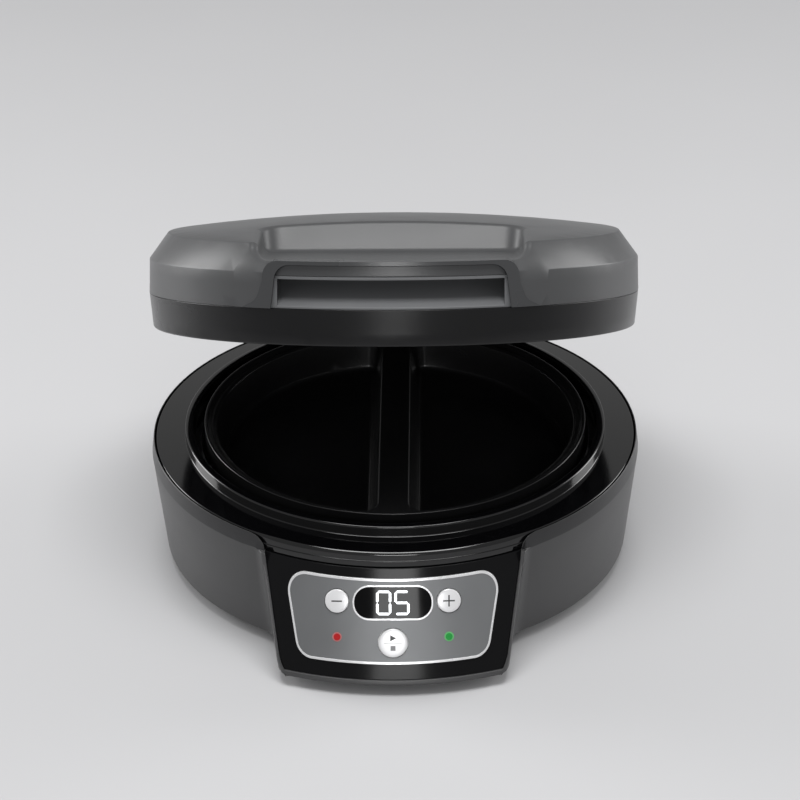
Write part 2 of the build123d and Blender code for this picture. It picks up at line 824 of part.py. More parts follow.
def segment_frames():
    """Centre, turn and length of the seven strokes of one digit, keyed by their usual letters."""
    side = digit_width / 2 - digit_stroke / 2
    half = digit_height / 2 - digit_stroke / 2
    flat = digit_width - digit_stroke - 2 * digit_gap
    tall = half - 2 * digit_gap
    return {
        "a": (0, half, 0, flat), "g": (0, 0, 0, flat), "d": (0, -half, 0, flat),
        "b": (side, half / 2, 90, tall), "c": (side, -half / 2, 90, tall),
        "e": (-side, -half / 2, 90, tall), "f": (-side, half / 2, 90, tall),
    }


def segment_outline(length):
    """Six-sided stroke with pointed ends."""
    flat = (length - digit_stroke) / 2
    half = digit_stroke / 2
    return (-length / 2, 0), (-flat, half), (flat, half), (length / 2, 0), (flat, -half), (-flat, -half)


with BuildPart() as display_digits:
    for centre, lit in ((-digit_step / 2, "abcdef"), (digit_step / 2, "afgcd")):
        for letter in lit:
            u, v, turn, length = segment_frames()[letter]
            with BuildSketch(panel_plane(0, display_z)):
                with Locations((centre + u, v)):
                    Polygon(*segment_outline(length), rotation=turn)
            extrude(amount=digit_reach, both=True)
    add(fascia_slab(panel_thick + digit_proud, panel_thick), mode=Mode.INTERSECT)
display_digits.part.label = "display_digits"
export_step(display_digits.part, "parts/display_digits.step")

with BuildPart() as display_module:
    with BuildSketch(board_plane):
        with Locations((0, display_v)):
            Rectangle(module_width, module_height)
    extrude(amount=board_setback - module_gap)
display_module.part.label = "display_module"
export_step(display_module.part, "parts/display_module.step")

# Lights: coloured pins in bright rings
for name, (x, z) in light_places.items():
    with BuildPart() as light:
        add(face_rod(x, z, light_r))
        add(fascia_slab(panel_thick + light_proud, -light_length), mode=Mode.INTERSECT)
    light.part.label = name + "_light"
    export_step(light.part, "parts/" + name + "_light.step")
    with BuildPart() as light_ring:
        add(face_rod(x, z, ring_out_r))
        add(face_rod(x, z, light_r), mode=Mode.SUBTRACT)
        add(fascia_slab(panel_thick + border_proud, -fascia_thick), mode=Mode.INTERSECT)
    light_ring.part.label = name + "_ring"
    export_step(light_ring.part, "parts/" + name + "_ring.step")

# Buttons: a cap that follows the panel, a keeper flange and a plunger
for name, (x, z) in button_places.items():
    cap_r = button_radii[name]
    with BuildPart() as button:
        with BuildPart(mode=Mode.PRIVATE) as cap:
            add(face_rod(x, z, cap_r))
            add(fascia_slab(panel_thick + button_proud, -fascia_thick - keeper_thick), mode=Mode.INTERSECT)
        add(cap.part)
        with BuildPart(mode=Mode.PRIVATE) as keeper:
            add(face_rod(x, z, cap_r + button_flange))
            add(fascia_slab(-fascia_thick - keeper_gap, -fascia_thick - keeper_thick), mode=Mode.INTERSECT)
        add(keeper.part)
        stem_top = panel_plane(x, z, fascia_thick)
        board_distance = (stem_top.origin - board_plane.origin).dot(board_plane.z_dir)
        stem_length = board_distance - switch_height - press_gap
        with BuildSketch(stem_top):
            Circle(plunger_r)
        extrude(amount=-stem_length)
    button.part.label = name + "_button"
    export_step(button.part, "parts/" + name + "_button.step")

# Control board with a switch under each button
with BuildPart() as control_board:
    with BuildSketch(board_plane):
        with Locations((0, (board_top_v - board_bottom_v) / 2)):
            Rectangle(2 * board_half, board_top_v + board_bottom_v)
    extrude(amount=-board_thick)
control_board.part.label = "control_board"
export_step(control_board.part, "parts/control_board.step")

with BuildPart() as board_switches:
    for x, z in button_places.values():
        place = board_plane.to_local_coords(panel_plane(x, z).origin)
        with BuildSketch(board_plane):
            with Locations((place.X, place.Y)):
                Rectangle(switch_side, switch_side)
        extrude(amount=switch_height)
board_switches.part.label = "board_switches"
export_step(board_switches.part, "parts/board_switches.step")

# Bottom cover with vents, feet and screws
with BuildPart() as bottom_cover:
    add(body_prism(shell_wall + cover_fit, cover_top, shell_bottom))
    add(cone_core(-fascia_thick - cover_fit), mode=Mode.INTERSECT)
    with BuildSketch(base_xy(cover_top)):
        for turn in vent_angles:
            with PolarLocations(vent_circle_r, 1, start_angle=turn):
                with GridLocations(vent_pitch, 0, vent_count, 1):
                    SlotOverall(vent_length, vent_width, rotation=90)
        with PolarLocations(post_circle_r, 4, start_angle=post_angle):
            Circle(screw_shank_r)
    extrude(amount=-cover_floor, mode=Mode.SUBTRACT)
    # Standoffs of the power board
    with BuildSketch(base_xy(cover_top)):
        with Locations((0, power_y)):
            with GridLocations(power_length - 2 * standoff_r, power_width - 2 * standoff_r, 2, 2):
                Circle(standoff_r)
    extrude(amount=power_lift)
bottom_cover.part.label = "bottom_cover"
export_step(bottom_cover.part, "parts/bottom_cover.step")

foot_places = PolarLocations(foot_circle_r, 4, start_angle=foot_angle).local_locations
for number, place in enumerate(foot_places, 1):
    with BuildPart() as foot:
        with BuildSketch(base_xy(shell_bottom)):
            with Locations(place.position):
                Circle(foot_r)
        extrude(amount=foot_height, dir=(0, 0, -1), taper=foot_draft)
        fillet(foot.edges().group_by(Axis.Z)[0], foot_edge_r)
    foot.part.label = f"foot_{number}"
    export_step(foot.part, f"parts/foot_{number}.step")

with BuildPart() as cover_screws:
    with BuildSketch(base_xy(shell_bottom)):
        with PolarLocations(post_circle_r, 4, start_angle=post_angle):
            Circle(screw_head_r)
    extrude(amount=screw_head_height, dir=(0, 0, -1))
    with BuildSketch(base_xy(shell_bottom)):
        with PolarLocations(post_circle_r, 4, start_angle=post_angle):
            Circle(screw_core_r)
    extrude(amount=screw_bite)
cover_screws.part.label = "cover_screws"
export_step(cover_screws.part, "parts/cover_screws.step")

# Power board with its relay and capacitor
with BuildPart() as power_board:
    with BuildSketch(base_xy(cover_top + power_lift)):
        with Locations((0, power_y)):
            Rectangle(power_length, power_width)
    extrude(amount=board_thick)
power_board.part.label = "power_board"
export_step(power_board.part, "parts/power_board.step")

power_face = cover_top + power_lift + board_thick
with BuildPart() as power_relay:
    with BuildSketch(base_xy(power_face)):
        with Locations((-power_length / 4, power_y)):
            Rectangle(relay_length, relay_width)
    extrude(amount=relay_height)
    fillet(power_relay.edges().filter_by(Axis.Z), relay_edge_r)
power_relay.part.label = "power_relay"
export_step(power_relay.part, "parts/power_relay.step")

with BuildPart() as power_capacitor:
    with BuildSketch(base_xy(power_face)):
        with Locations((power_length / 4, power_y)):
            Circle(capacitor_r)
    extrude(amount=capacitor_height)
power_capacitor.part.label = "power_capacitor"
export_step(power_capacitor.part, "parts/power_capacitor.step")

# Cord inlet gland through the rear wall
with BuildPart() as cord_gland:
    with BuildSketch(gland_plane):
        Circle(gland_flange_r)
    extrude(amount=gland_flange_thick)
    with BuildSketch(gland_plane.offset(gland_flange_thick)):
        Circle(gland_r)
    extrude(amount=gland_nose, taper=gland_draft)
    with BuildSketch(gland_plane):
        Circle(gland_r)
    extrude(amount=-gland_length)
    with BuildSketch(gland_plane.offset(-shell_wall - gland_nut_gap)):
        Circle(gland_flange_r)
    extrude(amount=-gland_flange_thick)
    with BuildSketch(gland_plane.offset(gland_flange_thick + gland_nose)):
        Circle(gland_bore_r)
    extrude(amount=-gland_length - gland_flange_thick - gland_nose, mode=Mode.SUBTRACT)
    add(outer_shell.part, mode=Mode.SUBTRACT)
cord_gland.part.label = "cord_gland"
export_step(cord_gland.part, "parts/cord_gland.step")

with BuildPart() as hinge_pin:
    with BuildSketch(base_yz(pin_end_gap - ear_out)):
        with Locations((hinge_y, hinge_z)):
            Circle(pin_r)
    extrude(amount=2 * (ear_out - pin_end_gap))
    chamfer(hinge_pin.edges(), pin_chamfer)
hinge_pin.part.label = "hinge_pin"
export_step(hinge_pin.part, "parts/hinge_pin.step")


def scoop_block(grow, floor):
    """Room of the thumb scoop: a rounded plan that opens upward, its back wall leaning away."""
    rise = scoop_ceiling - floor
    lean = rise * tan(radians(scoop_lean))
    spread = rise * tan(radians(scoop_side_lean))
    with BuildPart(mode=Mode.PRIVATE) as block:
        for z, back, side in ((floor, 0, 0), (scoop_ceiling, lean, spread)):
            half = scoop_half + grow + side
            with BuildSketch(lid_xy(z)):
                with Locations((0, back - scoop_back + grow)):
                    Rectangle(2 * half, band_r, align=(Align.CENTER, Align.MAX))
                fillet(vertices().sort_by(Axis(lid_origin, lid_back))[-2:], scoop_corner_r + grow)
        loft()
        floor_face = block.faces().sort_by(Axis(lid_origin, lid_up))[0]
        fillet(floor_face.edges(), scoop_floor_r + grow)
    return block.part


def arch_outline(outer):
    """Front view of the handle arch, its outer or inner line, closed below the seam."""
    with BuildSketch(mode=Mode.PRIVATE) as arch:
        with BuildLine():
            if outer:
                points = ((arch_foot_half, band_top), (arch_half + arch_flare, arch_knee),
                          (arch_half, arch_waist), (arch_half - arch_lean, arch_top))
            else:
                inner = arch_half - arch_width
                points = ((inner + arch_flare / 2, band_top), (inner, arch_waist),
                          (inner - arch_lean, arch_top - arch_bar))
            mirrored = [(-x, z) for x, z in reversed(points)]
            Polyline(*points, *mirrored, close=True)
        make_face()
        fillet(arch.vertices().group_by(Axis.Y)[-1], arch_corner_r)
        if outer:
            fillet(arch.vertices().group_by(Axis.Y)[2], arch_waist_r)
            fillet(arch.vertices().group_by(Axis.Y)[1], arch_knee_r)
    return arch.sketch


# Lid cover: wall, bevel and dome, with the thumb scoop and the handle opening
def cover_profile(inset):
    """Half section of the cover down to the seam, moved in by a wall."""
    slant = inset * crown_share
    with BuildLine(mode=Mode.PRIVATE) as profile:
        Polyline(
            (0, band_top), (band_r - inset, band_top), (cover_top_r - inset, cover_wall_top - slant),
            (crown_r - slant, crown_base - inset),
        )
        crown_top = (0, crown_base + crown_height - inset)
        TangentArc(crown_top, (crown_r - slant, crown_base - inset), tangent=(1, 0))
        Line(crown_top, (0, band_top))
    return profile.line


with BuildPart() as lid_cover:
    with BuildSketch(lid_xz()):
        with BuildLine():
            add(cover_profile(0))
        make_face()
    revolve(axis=lid_axis)
    add(scoop_block(0, scoop_floor), mode=Mode.SUBTRACT)
    # Soft rim round the scoop, on the dome and a little way down the bevel
    dome = lid_cover.faces().sort_by(lid_axis)[-1]
    bevel = lid_cover.faces().filter_by(GeomType.CONE).sort_by(lid_axis)[-1]
    bevel_lines = bevel.edges().filter_by(GeomType.BSPLINE).sort_by(lid_axis)
    fillet(dome.edges().filter_by(GeomType.BSPLINE) + bevel_lines[-2:], scoop_rim_r)
    # Inside, with a skin left under the scoop
    with BuildPart(mode=Mode.PRIVATE) as lid_cavity:
        with BuildSketch(lid_xz()):
            with BuildLine():
                add(cover_profile(cover_skin))
            make_face()
        revolve(axis=lid_axis)
        add(scoop_block(cover_skin, scoop_floor - cover_skin), mode=Mode.SUBTRACT)
    add(lid_cavity.part, mode=Mode.SUBTRACT)
    with BuildPart(mode=Mode.PRIVATE) as handle_opening:
        add(lid_front_prism(arch_outline(True)))
        add(lid_turn(
            (handle_in_r, 0), (band_r + handle_spare, 0),
            (band_r + handle_spare, lid_ceiling), (handle_in_r, lid_ceiling),
        ), mode=Mode.INTERSECT)
    add(handle_opening.part, mode=Mode.SUBTRACT)
lid_cover.part.label = "lid_cover"
export_step(lid_cover.part, "parts/lid_cover.step")

with BuildPart() as lid_band:
    add(lid_turn(
        (band_foot_r - band_lip_in, lid_gap), (band_foot_r - band_edge, lid_gap),
        (band_foot_r, lid_gap + band_edge),
        (band_r, band_top), (band_r - band_wall, band_top), (band_foot_r - band_wall, lid_gap + band_wall),
        (band_foot_r - band_lip_in, lid_gap + band_wall),
    ))
lid_band.part.label = "lid_band"
export_step(lid_band.part, "parts/lid_band.step")

with BuildPart() as lid_liner:
    liner_floor = lid_gap + band_wall
    liner_roof = ring_height + liner_clearance
    add(lid_turn(
        (liner_step_r, liner_floor), (band_foot_r - band_wall - liner_fit, liner_floor),
        (band_foot_r - band_wall - liner_fit, liner_floor + liner_wall),
        (liner_step_r + liner_wall, liner_floor + liner_wall),
        (liner_step_r + liner_wall, liner_roof + liner_wall),
        (well_r, liner_roof + liner_wall), (well_r, liner_roof), (liner_step_r, liner_roof),
    ))
lid_liner.part.label = "lid_liner"
export_step(lid_liner.part, "parts/lid_liner.step")

# Handle: arch trim, grip bar and the finger pocket under it
with BuildPart() as handle_trim:
    add(lid_front_prism(arch_outline(True)))
    add(lid_front_prism(arch_outline(False)), mode=Mode.SUBTRACT)
    add(lid_turn(
        (handle_in_r, 0), (band_r + arch_proud, 0),
        (band_r + arch_proud, lid_ceiling), (handle_in_r, lid_ceiling),
    ), mode=Mode.INTERSECT)
handle_trim.part.label = "handle_trim"
export_step(handle_trim.part, "parts/handle_trim.step")

grip_top = arch_top - arch_bar
grip_bottom = grip_top - grip_height
with BuildPart() as handle_grip:
    add(lid_front_prism(arch_outline(False)))
    add(lid_turn(
        (handle_in_r, grip_bottom), (band_r - grip_inset, grip_bottom),
        (band_r - grip_inset, lid_ceiling), (handle_in_r, lid_ceiling),
    ), mode=Mode.INTERSECT)
handle_grip.part.label = "handle_grip"
export_step(handle_grip.part, "parts/handle_grip.step")

pocket_in_r = band_r - pocket_depth
with BuildPart() as finger_pocket:
    add(lid_front_prism(arch_outline(False)))
    add(lid_turn(
        (pocket_in_r - pocket_wall, 0), (band_r - band_wall / 2, 0), (band_r - band_wall / 2, grip_bottom),
        (pocket_in_r - pocket_wall, grip_bottom),
    ), mode=Mode.INTERSECT)
    with BuildPart(mode=Mode.PRIVATE) as finger_room:
        with BuildSketch(lid_xz()):
            Rectangle(2 * (arch_half - arch_width - pocket_wall), 2 * (grip_bottom - pocket_wall))
        extrude(amount=band_r + cone_spare)
        add(lid_turn(
            (pocket_in_r, band_top + finger_ramp_rise), (band_r, band_top + ramp_edge),
            (band_r + handle_spare, band_top + ramp_edge), (band_r + handle_spare, lid_ceiling),
            (pocket_in_r, lid_ceiling),
        ), mode=Mode.INTERSECT)
    add(finger_room.part, mode=Mode.SUBTRACT)
finger_pocket.part.label = "finger_pocket"
export_step(finger_pocket.part, "parts/finger_pocket.step")

# Upper cooking plate over its mirror image in the base
upper_rim = plate_rim_top + plate_gap
upper_face = upper_rim + plate_rim_top - plate_face
upper_back = upper_face + plate_skin
upper_boss_length = upper_pocket_depth + 2 * heater_tube_r + upper_dish_gap
with BuildPart() as upper_plate:
    add(lid_turn(
        (0, upper_back), (plate_r, upper_back),
        (plate_r, upper_rim), (plate_r - plate_rim_width, upper_rim),
        (plate_r - 2 * plate_rim_width, upper_face), (0, upper_face),
    ))
    with BuildSketch(lid_xy(upper_face)):
        add(half_moons(plate_skin))
    extrude(amount=upper_pocket_depth + plate_skin, taper=pocket_draft)
    add(pocket_rooms(lid_xy(upper_face), 1, upper_pocket_depth), mode=Mode.SUBTRACT)
    add(lip_rings(lid_xy(upper_face), 1), mode=Mode.SUBTRACT)
    with BuildSketch(lid_xy(upper_back)):
        with Locations((0, boss_y), (0, -boss_y)):
            Circle(boss_r)
    extrude(amount=upper_boss_length)
    with BuildSketch(lid_xy(upper_back + upper_boss_length)):
        with Locations((0, boss_y), (0, -boss_y)):
            Circle(screw_core_r)
    extrude(amount=-screw_bite, mode=Mode.SUBTRACT)
upper_plate.part.label = "upper_plate"
export_step(upper_plate.part, "parts/upper_plate.step")

upper_pocket_roof = upper_face + upper_pocket_depth + plate_skin
with BuildPart() as upper_heater:
    add(tube_heater(lid_xy(upper_pocket_roof + heater_tube_r), 1))
upper_heater.part.label = "upper_heater"
export_step(upper_heater.part, "parts/upper_heater.step")

upper_dish_roof = upper_back + upper_boss_length
upper_dish_foot = ring_height + liner_clearance + liner_wall
with BuildPart() as upper_reflector:
    add(lid_turn(
        (0, upper_dish_roof), (reflector_r, upper_dish_roof),
        (well_r, upper_dish_foot + reflector_skin), (well_r, upper_dish_foot),
        (ring_in_r, upper_dish_foot), (ring_in_r, upper_dish_foot + reflector_skin),
        (well_r + reflector_skin, upper_dish_foot + 2 * reflector_skin),
        (reflector_r + reflector_skin, upper_dish_roof + reflector_skin),
        (0, upper_dish_roof + reflector_skin),
    ))
    with BuildSketch(lid_xy(upper_dish_roof)):
        with Locations((0, boss_y), (0, -boss_y)):
            Circle(screw_shank_r)
        with Locations(*heater_ends()):
            Circle(heater_tube_r + heater_hole_gap)
    extrude(amount=reflector_skin, mode=Mode.SUBTRACT)
upper_reflector.part.label = "upper_reflector"
export_step(upper_reflector.part, "parts/upper_reflector.step")

with BuildPart() as upper_plate_screws:
    with BuildSketch(lid_xy(upper_dish_roof + reflector_skin)):
        with Locations((0, boss_y), (0, -boss_y)):
            Circle(screw_head_r)
    extrude(amount=screw_head_height)
    with BuildSketch(lid_xy(upper_dish_roof + reflector_skin)):
        with Locations((0, boss_y), (0, -boss_y)):
            Circle(screw_core_r)
    extrude(amount=-screw_bite)
upper_plate_screws.part.label = "upper_plate_screws"
export_step(upper_plate_screws.part, "parts/upper_plate_screws.step")

with BuildPart() as upper_fuse:
    with BuildSketch(lid_yz(thermostat_x - fuse_length / 2)):
        with Locations((thermostat_y, upper_pocket_roof + fuse_r)):
            Circle(fuse_r)
    extrude(amount=fuse_length)
upper_fuse.part.label = "upper_fuse"
export_step(upper_fuse.part, "parts/upper_fuse.step")

# Hinge arm on the back of the band, with its barrel round the pin
hinge_centre = Vector(hinge_y, hinge_z)
barrel_top = hinge_centre + Vector(barrel_r, 0).rotate(Axis.Z, arm_top_angle)
barrel_under = hinge_centre + Vector(-barrel_r, 0).rotate(Axis.Z, arm_under_angle)
with BuildPart() as hinge_arm:
    with BuildSketch(lid_yz(-arm_half)):
        with BuildLine():
            Polyline(
                (band_foot_r - band_lip_in, arm_foot), (band_foot_r - band_lip_in, arm_top),
                (arm_shoulder_y, arm_top), barrel_top, hinge_centre, barrel_under,
                (wall_top_r + arm_rim_gap, arm_foot), close=True,
            )
        make_face()
        with Locations((hinge_y, hinge_z)):
            Circle(barrel_r)
    extrude(amount=2 * arm_half)
    with BuildSketch(lid_yz(-arm_half)):
        with Locations((hinge_y, hinge_z)):
            Circle(pin_r + pin_clearance)
    extrude(amount=2 * arm_half, mode=Mode.SUBTRACT)
    add(lid_turn(
        (0, lid_gap), (band_foot_r, lid_gap), (band_r, band_top),
        (cover_top_r, cover_wall_top), (0, cover_wall_top),
    ), mode=Mode.SUBTRACT)
hinge_arm.part.label = "hinge_arm"
export_step(hinge_arm.part, "parts/hinge_arm.step")
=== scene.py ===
# %% [markdown]
# # A round omelette maker
#
# This lesson dresses a finished CAD model of a two-pocket omelette maker. The CAD gives every piece its
# place and its size in metres. What is left to make is what a camera sees: soft edges, the finish of each
# plastic, the non-stick coat, the lit digits and the light of a photo studio.

# %% Load the model
import json
from math import atan, cos, degrees, pi, radians, sin, sqrt, tan

import bmesh
import bpy
from mathutils import Matrix, Vector
from mathutils.bvhtree import BVHTree


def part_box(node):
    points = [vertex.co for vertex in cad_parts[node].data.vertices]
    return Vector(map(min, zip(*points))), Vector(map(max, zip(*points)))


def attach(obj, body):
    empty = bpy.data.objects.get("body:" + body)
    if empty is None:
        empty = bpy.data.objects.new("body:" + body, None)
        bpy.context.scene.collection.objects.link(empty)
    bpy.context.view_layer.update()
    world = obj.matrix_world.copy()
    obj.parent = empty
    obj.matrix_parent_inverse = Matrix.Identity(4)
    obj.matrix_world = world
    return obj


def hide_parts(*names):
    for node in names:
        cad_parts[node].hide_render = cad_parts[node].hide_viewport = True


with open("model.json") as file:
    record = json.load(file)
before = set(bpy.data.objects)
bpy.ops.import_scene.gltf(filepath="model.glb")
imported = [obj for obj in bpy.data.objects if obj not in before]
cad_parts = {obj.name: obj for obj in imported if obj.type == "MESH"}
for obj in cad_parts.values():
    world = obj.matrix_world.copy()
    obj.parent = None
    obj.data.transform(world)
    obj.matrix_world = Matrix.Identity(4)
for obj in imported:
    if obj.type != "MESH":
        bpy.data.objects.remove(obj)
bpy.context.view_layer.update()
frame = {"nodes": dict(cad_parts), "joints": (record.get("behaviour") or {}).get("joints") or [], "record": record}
nodes = frame["nodes"]
print("pieces from the CAD model:", len(nodes))

# %% [markdown]
# ## A place to measure from
#
# The pan, the deck and the wall are all turned round one upright axis. The point where that axis meets the
# top of the deck is taken from the box of the deck, and every later place on the base is measured from it.
# The hinge tells how far the lid stands open.

# %% Middle of the base
MM = 0.001
joints = {joint["name"]: joint for joint in frame["joints"]}
deck_low, deck_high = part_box("deck")
ring_height = 5.3 * MM
deck_r = (deck_high.x - deck_low.x) / 2
deck_z = deck_high.z - ring_height
base_origin = Vector((0, (deck_high.y + deck_low.y) / 2, deck_z))
lid_open = -joints["lid_hinge"]["range_deg"][0]
print("deck at", round(deck_z / MM, 1), "mm, lid open by", round(lid_open, 1), "degrees")

# %% [markdown]
# ## The camera
#
# A long lens from a metre and a half away keeps the sides of the object nearly parallel, as product
# pictures do. The camera looks at the middle of the pan, and is then panned, tilted and rolled by less than
# a degree each.

# %% Camera
camera_distance = 1.5
camera_azimuth = radians(0.9)
camera_elevation = radians(29.73)
camera_pan, camera_tilt, camera_roll = radians(-0.0993), radians(0.4996), radians(0.6837)

camera_data = bpy.data.cameras.new("camera")
camera_data.sensor_width = 36.0
camera_data.lens = 137.32
camera_data.clip_start = 0.05
camera_data.clip_end = 20.0
camera = bpy.data.objects.new("camera", camera_data)
bpy.context.scene.collection.objects.link(camera)
bpy.context.scene.camera = camera

camera_side = Vector((sin(camera_azimuth), -cos(camera_azimuth), 0))
camera_place = base_origin + camera_distance * (
    cos(camera_elevation) * camera_side + sin(camera_elevation) * Vector((0, 0, 1))
)
look = (base_origin - camera_place).normalized()
side = look.cross(Vector((0, 0, 1))).normalized()
rise = side.cross(look)
for angle, axis in ((camera_pan, "rise"), (camera_tilt, "side"), (camera_roll, "look")):
    turn = Matrix.Rotation(angle, 3, {"rise": rise, "side": side, "look": look}[axis])
    look, side, rise = turn @ look, turn @ side, turn @ rise
camera.matrix_world = Matrix.Translation(camera_place) @ Matrix((side, rise, -look)).transposed().to_4x4()
print("camera at", [round(v, 3) for v in camera.location])

# %% [markdown]
# ## Helpers for finishes
#
# A moulded or painted surface is never one flat colour. Its tone drifts a little, its gloss changes from
# place to place, and a fine grain breaks up the highlights. One helper builds that from noise on Object
# coordinates, so a pattern has its real size on every piece. Noise stays near its middle value, so only its
# middle part is mapped.

# %% Material helpers
noise_low, noise_high = 0.3, 0.7


def new_material(name):
    """An empty material with its shader, and the handles to add nodes to it."""
    material = bpy.data.materials.new(name)
    material.use_nodes = True
    tree = material.node_tree
    return material, tree, tree.nodes["Principled BSDF"]


def object_noise(tree, scale, detail=3.0):
    """Noise on Object coordinates, in patches of about one part in scale of a metre."""
    place = tree.nodes.new("ShaderNodeTexCoord")
    noise = tree.nodes.new("ShaderNodeTexNoise")
    noise.inputs["Scale"].default_value = scale
    noise.inputs["Detail"].default_value = detail
    tree.links.new(place.outputs["Object"], noise.inputs["Vector"])
    return noise.outputs["Fac"]


def value_range(tree, source, low, high):
    """Maps noise to a range of values."""
    node = tree.nodes.new("ShaderNodeMapRange")
    node.inputs["From Min"].default_value = noise_low
    node.inputs["From Max"].default_value = noise_high
    node.inputs["To Min"].default_value = low
    node.inputs["To Max"].default_value = high
    tree.links.new(source, node.inputs["Value"])
    return node.outputs["Result"]


def tones(tree, source, dark, light):
    """Maps noise to a colour between two tones."""
    ramp = tree.nodes.new("ShaderNodeValToRGB")
    for element, place, color in zip(ramp.color_ramp.elements, (noise_low, noise_high), (dark, light)):
        element.position = place
        element.color = (*color, 1.0)
    tree.links.new(source, ramp.inputs["Fac"])
    return ramp.outputs["Color"]


def bump(tree, shader, source, depth, strength=0.5):
    """Raises a surface by a height of metres where the noise is high."""
    node = tree.nodes.new("ShaderNodeBump")
    node.inputs["Strength"].default_value = strength
    node.inputs["Distance"].default_value = depth
    tree.links.new(source, node.inputs["Height"])
    tree.links.new(node.outputs["Normal"], shader.inputs["Normal"])


def grained(
    name, tone, drift, gloss, grain_scale=2200.0, grain_depth=0.03 * MM, metallic=0.0, coat=0.0, mirror=0.5,
):
    """A finish whose tone, roughness and surface vary a little: moulded plastic, paint or cast metal."""
    material, tree, shader = new_material(name)
    patches = object_noise(tree, 18.0)
    grain = object_noise(tree, grain_scale, detail=2.0)
    dark = [value * (1.0 - drift) for value in tone]
    light = [value * (1.0 + drift) for value in tone]
    tree.links.new(tones(tree, patches, dark, light), shader.inputs["Base Color"])
    tree.links.new(value_range(tree, patches, *gloss), shader.inputs["Roughness"])
    bump(tree, shader, grain, grain_depth)
    shader.inputs["Metallic"].default_value = metallic
    shader.inputs["Specular IOR Level"].default_value = mirror
    shader.inputs["Coat Weight"].default_value = coat
    shader.inputs["Coat Roughness"].default_value = 0.08
    return material


def glowing(name, color, strength):
    """A lit lens: a clear coloured skin over an even glow that is a little stronger in patches."""
    material, tree, shader = new_material(name)
    patches = object_noise(tree, 900.0)
    dark = [value * 0.92 for value in color]
    tree.links.new(tones(tree, patches, dark, color), shader.inputs["Base Color"])
    tree.links.new(tones(tree, patches, dark, color), shader.inputs["Emission Color"])
    shader.inputs["Emission Strength"].default_value = strength
    shader.inputs["Roughness"].default_value = 0.2
    return material


print("helpers for finishes:", grained.__name__, "and", glowing.__name__)

# %% [markdown]
# ## Finishes
#
# Greys of the housing are a satin plastic with a fine grain. The deck and the band are the same plastic
# polished until it mirrors the room. The pans carry a dark coat on cast aluminium, so they are rougher and
# a little mottled. The control face and the lens reflect less than plain plastic does, which keeps them
# black under the front lamp.

# %% Finishes of the object
shell_grey = grained("shell_grey", (0.050, 0.050, 0.051), 0.06, (0.34, 0.42))
cover_grey = grained("cover_grey", (0.056, 0.057, 0.059), 0.05, (0.33, 0.40))
band_dark = grained(
    "band_dark", (0.0045, 0.0045, 0.005), 0.08, (0.22, 0.28), grain_depth=0.01 * MM, mirror=0.35,
)
trim_grey = grained("trim_grey", (0.045, 0.046, 0.048), 0.05, (0.24, 0.30), grain_depth=0.01 * MM)
grip_grey = grained("grip_grey", (0.050, 0.051, 0.053), 0.05, (0.30, 0.36))
# Painted light: the finger pocket gets a tone much lighter than the cover's, which lifts the shade inside its
# recess.
pocket_dark = grained("pocket_dark", (0.135, 0.138, 0.143), 0.06, (0.45, 0.55))
deck_black = grained(
    "deck_black", (0.0015, 0.0015, 0.0018), 0.2, (0.07, 0.12), grain_depth=0.004 * MM, coat=0.2,
)
# Painted shade: the slanted strip on the shell's rim gets a far darker tone than the wall, standing in for the
# dark it mirrors.
rim_painted_shade = grained("rim_painted_shade", (0.012, 0.012, 0.013), 0.05, (0.34, 0.40), grain_depth=0.01 * MM)
liner_black = grained("liner_black", (0.006, 0.006, 0.006), 0.15, (0.40, 0.50))
pan_black = grained("pan_black", (0.009, 0.009, 0.0095), 0.2, (0.20, 0.28), 1500.0, metallic=0.3)
fascia_black = grained(
    "fascia_black", (0.0045, 0.0045, 0.005), 0.1, (0.14, 0.19), grain_depth=0.006 * MM, mirror=0.15,
)
panel_grey = grained("panel_grey", (0.19, 0.195, 0.20), 0.08, (0.36, 0.46), 5200.0, metallic=0.5)
silver = grained("silver", (0.80, 0.80, 0.81), 0.04, (0.22, 0.3), metallic=0.4)
button_silver = grained("button_silver", (0.84, 0.84, 0.85), 0.03, (0.26, 0.34), 3000.0, metallic=0.3)
lens_black = grained(
    "lens_black", (0.0012, 0.0012, 0.0015), 0.3, (0.06, 0.10), grain_depth=0.002 * MM, mirror=0.15,
)
component_black = grained("component_black", (0.02, 0.02, 0.02), 0.15, (0.45, 0.6))
steel = grained("steel", (0.55, 0.55, 0.55), 0.08, (0.22, 0.35), metallic=1.0)
can_aluminium = grained("can_aluminium", (0.70, 0.70, 0.71), 0.06, (0.28, 0.4), metallic=1.0)
board_green = grained("board_green", (0.02, 0.12, 0.05), 0.2, (0.3, 0.4))
foot_rubber = grained("foot_rubber", (0.012, 0.012, 0.012), 0.2, (0.75, 0.9), 900.0, 0.1 * MM)
ring_red = grained("ring_red", (0.50, 0.20, 0.20), 0.05, (0.2, 0.3))
ring_green = grained("ring_green", (0.14, 0.50, 0.18), 0.05, (0.2, 0.3))
digit_white = glowing("digit_white", (0.95, 0.97, 1.0), 0.9)
light_red = glowing("light_red", (0.32, 0.004, 0.006), 0.35)
light_green = glowing("light_green", (0.008, 0.20, 0.03), 0.5)

